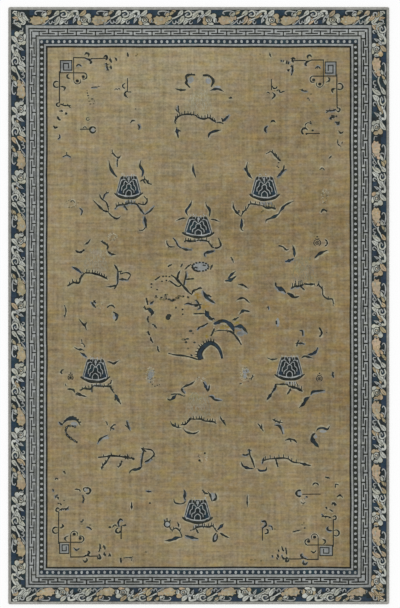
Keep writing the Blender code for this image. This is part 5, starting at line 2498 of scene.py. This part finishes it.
@dataclass
class Pile:
    """The pile, one piece for each wool, all in one level surface."""

    plan: KnotPlan
    finishes: tuple[WoolFinish, ...] = WOOL_FINISHES
    # The reach in millimetres and the strength of the tint close to dark motifs, and of the one farther out.
    halo_near: tuple[float, float] = (17.0, 0.22)
    halo_wide: tuple[float, float] = (62.0, 0.08)
    # An outline with more points than this is a ground or a band, and gives no halo.
    most_motif_points: int = 40
    # The field's mean tone, how much it changes towards the right, towards the top and towards both ends, and
    # how strong its clouds are.
    field_mean: float = 0.3
    field_across: float = -0.22
    field_along: float = 0.16
    field_ends: float = 0.32
    ends_power: float = 2.2
    field_clouds: float = 0.3
    field_waves: tuple[Wave, ...] = ((900, 420, 11, 1),)
    # Where the tones of the border's ends and of its right side start, and how far they take to get there.
    ends_start: float = 1760.0
    right_start: float = 980.0
    tone_change: float = 320.0
    # How much paler a wool runs at the top, at the bottom and on the right than on the left.
    side_tones: tuple[tuple[Wool, tuple[float, float, float]], ...] = (
        (Wool.GUARD, (0.16, 0.36, -0.22)), (Wool.SILVER, (0.02, -0.22, -0.14)),
    )
    uv_margin: float = 0.01

    def build(self) -> list[bpy.types.Object]:
        """Lays the plan and makes the pieces.

        Returns:
            One object for each wool that shows.
        """
        points, panels = self.plan.laid()
        log.info("laid: %d points, %d panels", len(points), len(panels))
        haloes = self.haloes(points)
        pieces = []
        for finish in self.finishes:
            own = [(corners, outline.dye) for corners, outline in panels if outline.wool is finish.wool]
            if own:
                pieces.append(self.piece(finish, points, own, haloes))
        return pieces

    def haloes(self, points: list[Point]) -> list[float]:
        """How strongly each point of the net is tinted by the motifs round it.

        Args:
            points: The net's points.

        Returns:
            The tint of each, from 0 to 1.
        """
        spots = [
            outline.points[0] for outline in self.plan.outlines
            if outline.wool in (Wool.INK, Wool.NAVY) and len(outline.points) < self.most_motif_points
        ]
        tree = kdtree.KDTree(len(spots))
        for i, (x, y) in enumerate(spots):
            tree.insert((x, y, 0.0), i)
        tree.balance()
        found = []
        for x, y in points:
            away = tree.find((x, y, 0.0))[2]
            layers = (self.halo_near, self.halo_wide)
            found.append(sum(strength * math.exp(-(away / reach) ** 2) for reach, strength in layers))
        return found

    def field_dye(self, x: float, y: float) -> float:
        """The field's own tone: greyer at the upper left, browner to the right and in the middle.

        Args:
            x: The place across the rug.
            y: The place along it.

        Returns:
            The tone, between the wool's deep dye, 0, and its pale one, 1.
        """
        across, along = x / (RUG_WIDTH / 2), y / (RUG_LENGTH / 2)
        clouds = waves(x, y, self.field_waves)
        for place, radius, amount in PALE_PATCHES:
            px, py = on_rug(place)
            away = math.hypot(x - px, y - py) / (radius * PLAN_SQUARE)
            clouds += amount * math.exp(-away * away)
        slope = self.field_across * across + self.field_along * along
        ends = self.field_ends * abs(along) ** self.ends_power
        return clamped(self.field_mean + slope + ends + self.field_clouds * clouds)

    def side_tone(self, wool: Wool, x: float, y: float) -> float:
        """How much paler a wool of the border runs at a place than on the left side.

        Args:
            wool: The wool.
            x: The place across the rug.
            y: The place along it.

        Returns:
            What is added to the tone.
        """
        top, bottom = (clamped((reach - self.ends_start) / self.tone_change) for reach in (y, -y))
        right = clamped((x - self.right_start) / self.tone_change) * (1 - max(top, bottom))
        at_top, at_bottom, at_right = dict(self.side_tones).get(wool, (0, 0, 0))
        return at_top * top + at_bottom * bottom + at_right * right

    def piece(
        self, finish: WoolFinish, points: list[Point], own: list[tuple[tuple[int, ...], float]],
        haloes: list[float],
    ) -> bpy.types.Object:
        """Makes the piece of one wool.

        Args:
            finish: Its finish.
            points: The places of the whole net.
            own: This wool's triangles and the dye of each.
            haloes: The halo of each point of the net.

        Returns:
            The object, in metres and in place.
        """
        used = sorted({i for corners, _ in own for i in corners})
        index = {old: new for new, old in enumerate(used)}
        places = []
        for i in used:
            x, y = wander(*points[i])
            places.append((x / 1000, y / 1000, cloth_height(*points[i]) / 1000))
        data = bpy.data.meshes.new(finish.wool.value)
        data.from_pydata(places, [], [[index[i] for i in corners] for corners, _ in own])
        dye = data.attributes.new("dye", "FLOAT", "CORNER")
        halo = data.attributes.new("halo", "FLOAT", "POINT")
        if finish.wool is Wool.FIELD:
            ground = {i: self.field_dye(*points[i]) for i in used}
            tones = [ground[i] for corners, _ in own for i in corners]
            halo.data.foreach_set("value", [haloes[i] for i in used])
        else:
            tones = [
                clamped(value + self.side_tone(finish.wool, *points[i]))
                for corners, value in own for i in corners
            ]
        dye.data.foreach_set("value", tones)
        layer = data.uv_layers.new(name="OFBake")
        uvs = []
        low, size = self.uv_margin, 1 - 2 * self.uv_margin
        for corners, _ in own:
            for i in corners:
                x, y = points[i]
                uvs.extend((low + size * (x / RUG_WIDTH + 0.5), low + size * (y / RUG_LENGTH + 0.5)))
        layer.uv.foreach_set("vector", uvs)
        data.polygons.foreach_set("use_smooth", [True] * len(data.polygons))
        data.materials.append(finish.dress())
        data.validate()
        data.update()
        piece = linked(finish.wool.value, data)
        log.info("%s: %d triangles", piece.name, len(data.polygons))
        return piece


@dataclass(frozen=True)
class BodyFinish:
    """The back of the knots and the cotton warps between them, with the edge bound in plain wool.

    The back of a hand-knotted rug shows the same bands as its face, flatter and clearer. The border's plain
    bands are drawn by their distance from the edge. The real ribs are 3.6 mm apart and are drawn twice as
    coarse.
    """

    # Where each band starts, in millimetres from the edge, and its colour.
    bands: tuple[tuple[float, str], ...] = (
        (0, "87857c"), (18.5, "3a3a35"), (22.5, "65696a"), (127.5, "979a98"), (146, "33352f"),
        (154.5, "84868a"), (196, "33352f"), (204.5, "939694"), (222.5, "53565a"), (257, "7b7c78"),
        (271.5, "33352f"), (281, "8a7752"),
    )
    reach: float = 400.0
    # How fine the streaks of the weft are each way, how dark and how light they are, and how fine the ribs.
    streak_scale: tuple[float, float, float] = (6.0, 70.0, 1.0)
    streak_tones: Point = (0.72, 1.16)
    ribs_scale: float = 43.0
    roughness: float = 0.92
    specular: float = 0.25

    def dress(self) -> bpy.types.Material:
        """Makes the body's material.

        Returns:
            The material, which reads Object coordinates.
        """
        material = bpy.data.materials.new("knot_backs_and_bound_wool_edge")
        material.use_nodes = True
        tree = material.node_tree
        shader = tree.nodes["Principled BSDF"]
        coords = add_node(tree, "ShaderNodeTexCoord").outputs["Object"]
        bands = self.banded(tree, coords)
        streak = add_node(
            tree, "ShaderNodeVectorMath", {"operation": "MULTIPLY"}, {0: coords, 1: self.streak_scale}
        )
        weft = add_node(
            tree, "ShaderNodeTexNoise", None,
            {"Vector": streak.outputs["Vector"], "Scale": 1.0, "Detail": 3.0, "Roughness": 0.6},
        )
        light = add_node(
            tree, "ShaderNodeMapRange", None,
            {"Value": weft.outputs["Fac"], "From Min": 0.2, "From Max": 0.8, "To Min": self.streak_tones[0],
             "To Max": self.streak_tones[1]},
        )
        toned = add_node(
            tree, "ShaderNodeVectorMath", {"operation": "SCALE"},
            {"Vector": bands, "Scale": light.outputs["Result"]},
        )
        tree.links.new(toned.outputs["Vector"], shader.inputs["Base Color"])
        ribs, picks = (
            add_node(
                tree, "ShaderNodeTexWave", {"wave_type": "BANDS", "bands_direction": direction},
                {"Vector": coords, "Scale": self.ribs_scale, "Distortion": 1.2, "Detail": 2.0,
                 "Detail Scale": 3.0},
            ).outputs["Fac"]
            for direction in ("X", "Y")
        )
        both = add_node(tree, "ShaderNodeMath", {"operation": "ADD"}, {0: ribs, 1: picks})
        bump = add_node(
            tree, "ShaderNodeBump", None,
            {"Height": both.outputs["Value"], "Strength": 0.6, "Distance": 0.0008},
        )
        tree.links.new(bump.outputs["Normal"], shader.inputs["Normal"])
        shader.inputs["Roughness"].default_value = self.roughness
        shader.inputs["Specular IOR Level"].default_value = self.specular
        return material

    def banded(self, tree: bpy.types.NodeTree, coords: bpy.types.NodeSocket) -> bpy.types.NodeSocket:
        """The colour of the band that a spot lies in, from its distance to the nearest edge.

        Args:
            tree: The material's node tree.
            coords: The socket with the piece's Object coordinates.

        Returns:
            The socket with the colour.
        """
        split = add_node(tree, "ShaderNodeSeparateXYZ", None, {"Vector": coords})
        gaps = []
        for axis, half in (("X", RUG_WIDTH / 2000), ("Y", RUG_LENGTH / 2000)):
            size = add_node(tree, "ShaderNodeMath", {"operation": "ABSOLUTE"}, {0: split.outputs[axis]})
            gap = add_node(
                tree, "ShaderNodeMath", {"operation": "SUBTRACT"}, {0: half, 1: size.outputs["Value"]}
            )
            gaps.append(gap.outputs["Value"])
        nearest = add_node(tree, "ShaderNodeMath", {"operation": "MINIMUM"}, {0: gaps[0], 1: gaps[1]})
        share = add_node(
            tree, "ShaderNodeMath", {"operation": "DIVIDE", "use_clamp": True},
            {0: nearest.outputs["Value"], 1: self.reach / 1000},
        )
        ramp = add_node(tree, "ShaderNodeValToRGB", None, {"Fac": share.outputs["Value"]})
        ramp.color_ramp.interpolation = "CONSTANT"
        stops = ramp.color_ramp.elements
        while len(stops) < len(self.bands):
            stops.new(0.5)
        for stop, (start, sheet) in zip(list(stops), self.bands):
            stop.position = start / self.reach
            stop.color = to_linear(sheet)
        return ramp.outputs["Color"]


@dataclass
class RugBody:
    """The knotted body under the pile: one closed slab with a low bound edge. Lengths are millimetres."""

    corner_segments: int = 6
    edge_segments: int = 3
    # How near two heights, in metres, count as one, and how squarely a face has to look up to be the top.
    tolerance: float = 1e-6
    facing_up: float = 0.99

    def build(self) -> bpy.types.Object:
        """Makes the body.

        Returns:
            The closed object, in metres and in place.
        """
        mesh = bmesh.new()
        bmesh.ops.create_cube(mesh, size=1.0)
        size = Vector((RUG_WIDTH, RUG_LENGTH, BODY_EDGE_HEIGHT)) / 1000
        bmesh.ops.scale(mesh, vec=size, verts=mesh.verts)
        bmesh.ops.translate(mesh, vec=Vector((0, 0, size.z / 2)), verts=mesh.verts)
        upright = [edge for edge in mesh.edges if not self.level(edge)]
        self.round_over(mesh, upright, CORNER_RADIUS / 1000, self.corner_segments)
        mesh.normal_update()
        rims = [edge for edge in mesh.edges if self.level(edge)]
        self.round_over(mesh, rims, BODY_EDGE_ROUNDING / 1000, self.edge_segments)
        mesh.normal_update()
        top = max(mesh.faces, key=lambda face: (face.normal.z > self.facing_up, face.calc_area()))
        bmesh.ops.inset_region(
            mesh, faces=[top], thickness=(BODY_EDGE_WIDTH - BODY_EDGE_ROUNDING) / 1000, use_even_offset=True
        )
        lifted = bmesh.ops.extrude_face_region(mesh, geom=[top])
        moved = [item for item in lifted["geom"] if isinstance(item, bmesh.types.BMVert)]
        rise = (BODY_TOP_HEIGHT - BODY_EDGE_HEIGHT) / 1000
        bmesh.ops.translate(mesh, vec=Vector((0, 0, rise)), verts=moved)
        bmesh.ops.delete(mesh, geom=[top], context="FACES_ONLY")
        bmesh.ops.recalc_face_normals(mesh, faces=mesh.faces)
        data = bpy.data.meshes.new("rug_body")
        mesh.to_mesh(data)
        mesh.free()
        data.materials.append(BodyFinish().dress())
        body = linked("rug_body", data)
        log.info("%s: %d faces", body.name, len(data.polygons))
        return body

    def level(self, edge: bmesh.types.BMEdge) -> bool:
        """Whether both ends of an edge stand at the same height."""
        return abs(edge.verts[0].co.z - edge.verts[1].co.z) < self.tolerance

    def round_over(
        self, mesh: bmesh.types.BMesh, edges: list[bmesh.types.BMEdge], radius: float, segments: int
    ) -> None:
        """Rounds edges of the mesh to an arc.

        Args:
            mesh: The mesh.
            edges: The edges.
            radius: The arc's radius in metres.
            segments: How many faces stand for the arc.
        """
        bmesh.ops.bevel(
            mesh, geom=edges, offset=radius, offset_type="OFFSET", affect="EDGES",
            segments=segments, profile=0.5, material=-1,
        )


@dataclass
class Studio:
    """The pale floor, the soft light and the camera, which looks straight down as the photograph's does.

    Lengths are metres and angles degrees, and the lens and its sensor are in millimetres.
    """

    floor_half: float = 9.0
    floor_drop: float = 0.0006
    floor_sheet: str = "fdfdfd"
    world_share: float = 0.76
    sun_share: float = 0.24
    sun_tilt: float = 38.0
    sun_turn: float = -35.0
    sun_size: float = 35.0
    lens: float = 85.0
    sensor: float = 36.0

    def build(self) -> None:
        """Sets up the floor, the light and the camera."""
        self.floor()
        self.light()
        self.camera()

    def floor(self) -> None:
        """Lays the plain floor a hair under the rug."""
        mesh = bmesh.new()
        bmesh.ops.create_grid(mesh, x_segments=4, y_segments=4, size=self.floor_half)
        bmesh.ops.translate(mesh, vec=Vector((0, 0, -self.floor_drop)), verts=mesh.verts)
        data = bpy.data.meshes.new("studio_floor")
        mesh.to_mesh(data)
        mesh.free()
        material = bpy.data.materials.new("matt_white_studio_floor")
        material.use_nodes = True
        shader = material.node_tree.nodes["Principled BSDF"]
        shader.inputs["Base Color"].default_value = to_linear(self.floor_sheet)
        shader.inputs["Roughness"].default_value = 1.0
        shader.inputs["Specular IOR Level"].default_value = 0.0
        data.materials.append(material)
        linked("studio_floor", data)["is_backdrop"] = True

    def light(self) -> None:
        """Lights the rug evenly from all round, and a little more from the upper left."""
        scene = bpy.context.scene
        scene.view_settings.view_transform = "Standard"
        world = bpy.data.worlds.new("soft_studio_light")
        scene.world = world
        world.use_nodes = True
        back = world.node_tree.nodes["Background"]
        back.inputs["Color"].default_value = (1.0, 1.0, 1.0, 1.0)
        back.inputs["Strength"].default_value = self.world_share
        lamp = bpy.data.lights.new("soft_key_light", "SUN")
        lamp.angle = math.radians(self.sun_size)
        lamp.energy = self.sun_share * math.pi / math.cos(math.radians(self.sun_tilt))
        key = linked("soft_key_light", lamp)
        key.rotation_euler = (math.radians(-self.sun_tilt), 0, math.radians(self.sun_turn))

    def camera(self) -> None:
        """Places the camera over the rug so that one pixel is one square of the plan."""
        lens = bpy.data.cameras.new("camera")
        lens.type = "PERSP"
        lens.lens = self.lens
        lens.sensor_width = self.sensor
        lens.clip_end = 100.0
        seen = PHOTO_SIZE[1] * PLAN_SQUARE / 1000
        away = seen * self.lens / self.sensor + PILE_HEIGHT / 1000
        x, y = on_rug((PHOTO_SIZE[0] / 2, PHOTO_SIZE[1] / 2))
        camera = linked("camera", lens)
        camera.location = (x / 1000, y / 1000, away)
        bpy.context.scene.camera = camera


def draw_plan() -> KnotPlan:
    """Draws the whole rug, from its edge inwards.

    Returns:
        The finished plan.
    """
    rng = random.Random(SEED)
    plan = KnotPlan()
    fit = BorderFit()
    PlainBands(fit).draw(plan)
    VineBorder(fit).draw(plan, rng)
    KeyFret(fit).draw(plan, rng)
    PearlRow(fit).draw(plan, rng)
    FieldMotifs().draw(plan, rng)
    log.info("plan drawn: %d outlines", len(plan.outlines))
    return plan


def write_sizes() -> None:
    """Gathers the CAD box and the visual model's box as plain lists of numbers."""
    boxes = {"cad": CAD_BOX, "visual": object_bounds()}
    plain = {name: [[float(v) for v in corner] for corner in box] for name, box in boxes.items()}


def main() -> None:
    """Builds the studio and the rug, piece by piece."""
    logging.basicConfig(level=logging.INFO, format="%(name)s: %(message)s")
    Studio().build()
    pieces = Pile(draw_plan()).build()
    body = RugBody().build()
    for piece in (body, *pieces):
        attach(piece, "root")
    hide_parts("rug")
    write_sizes()


if __name__ == "__main__":
    main()
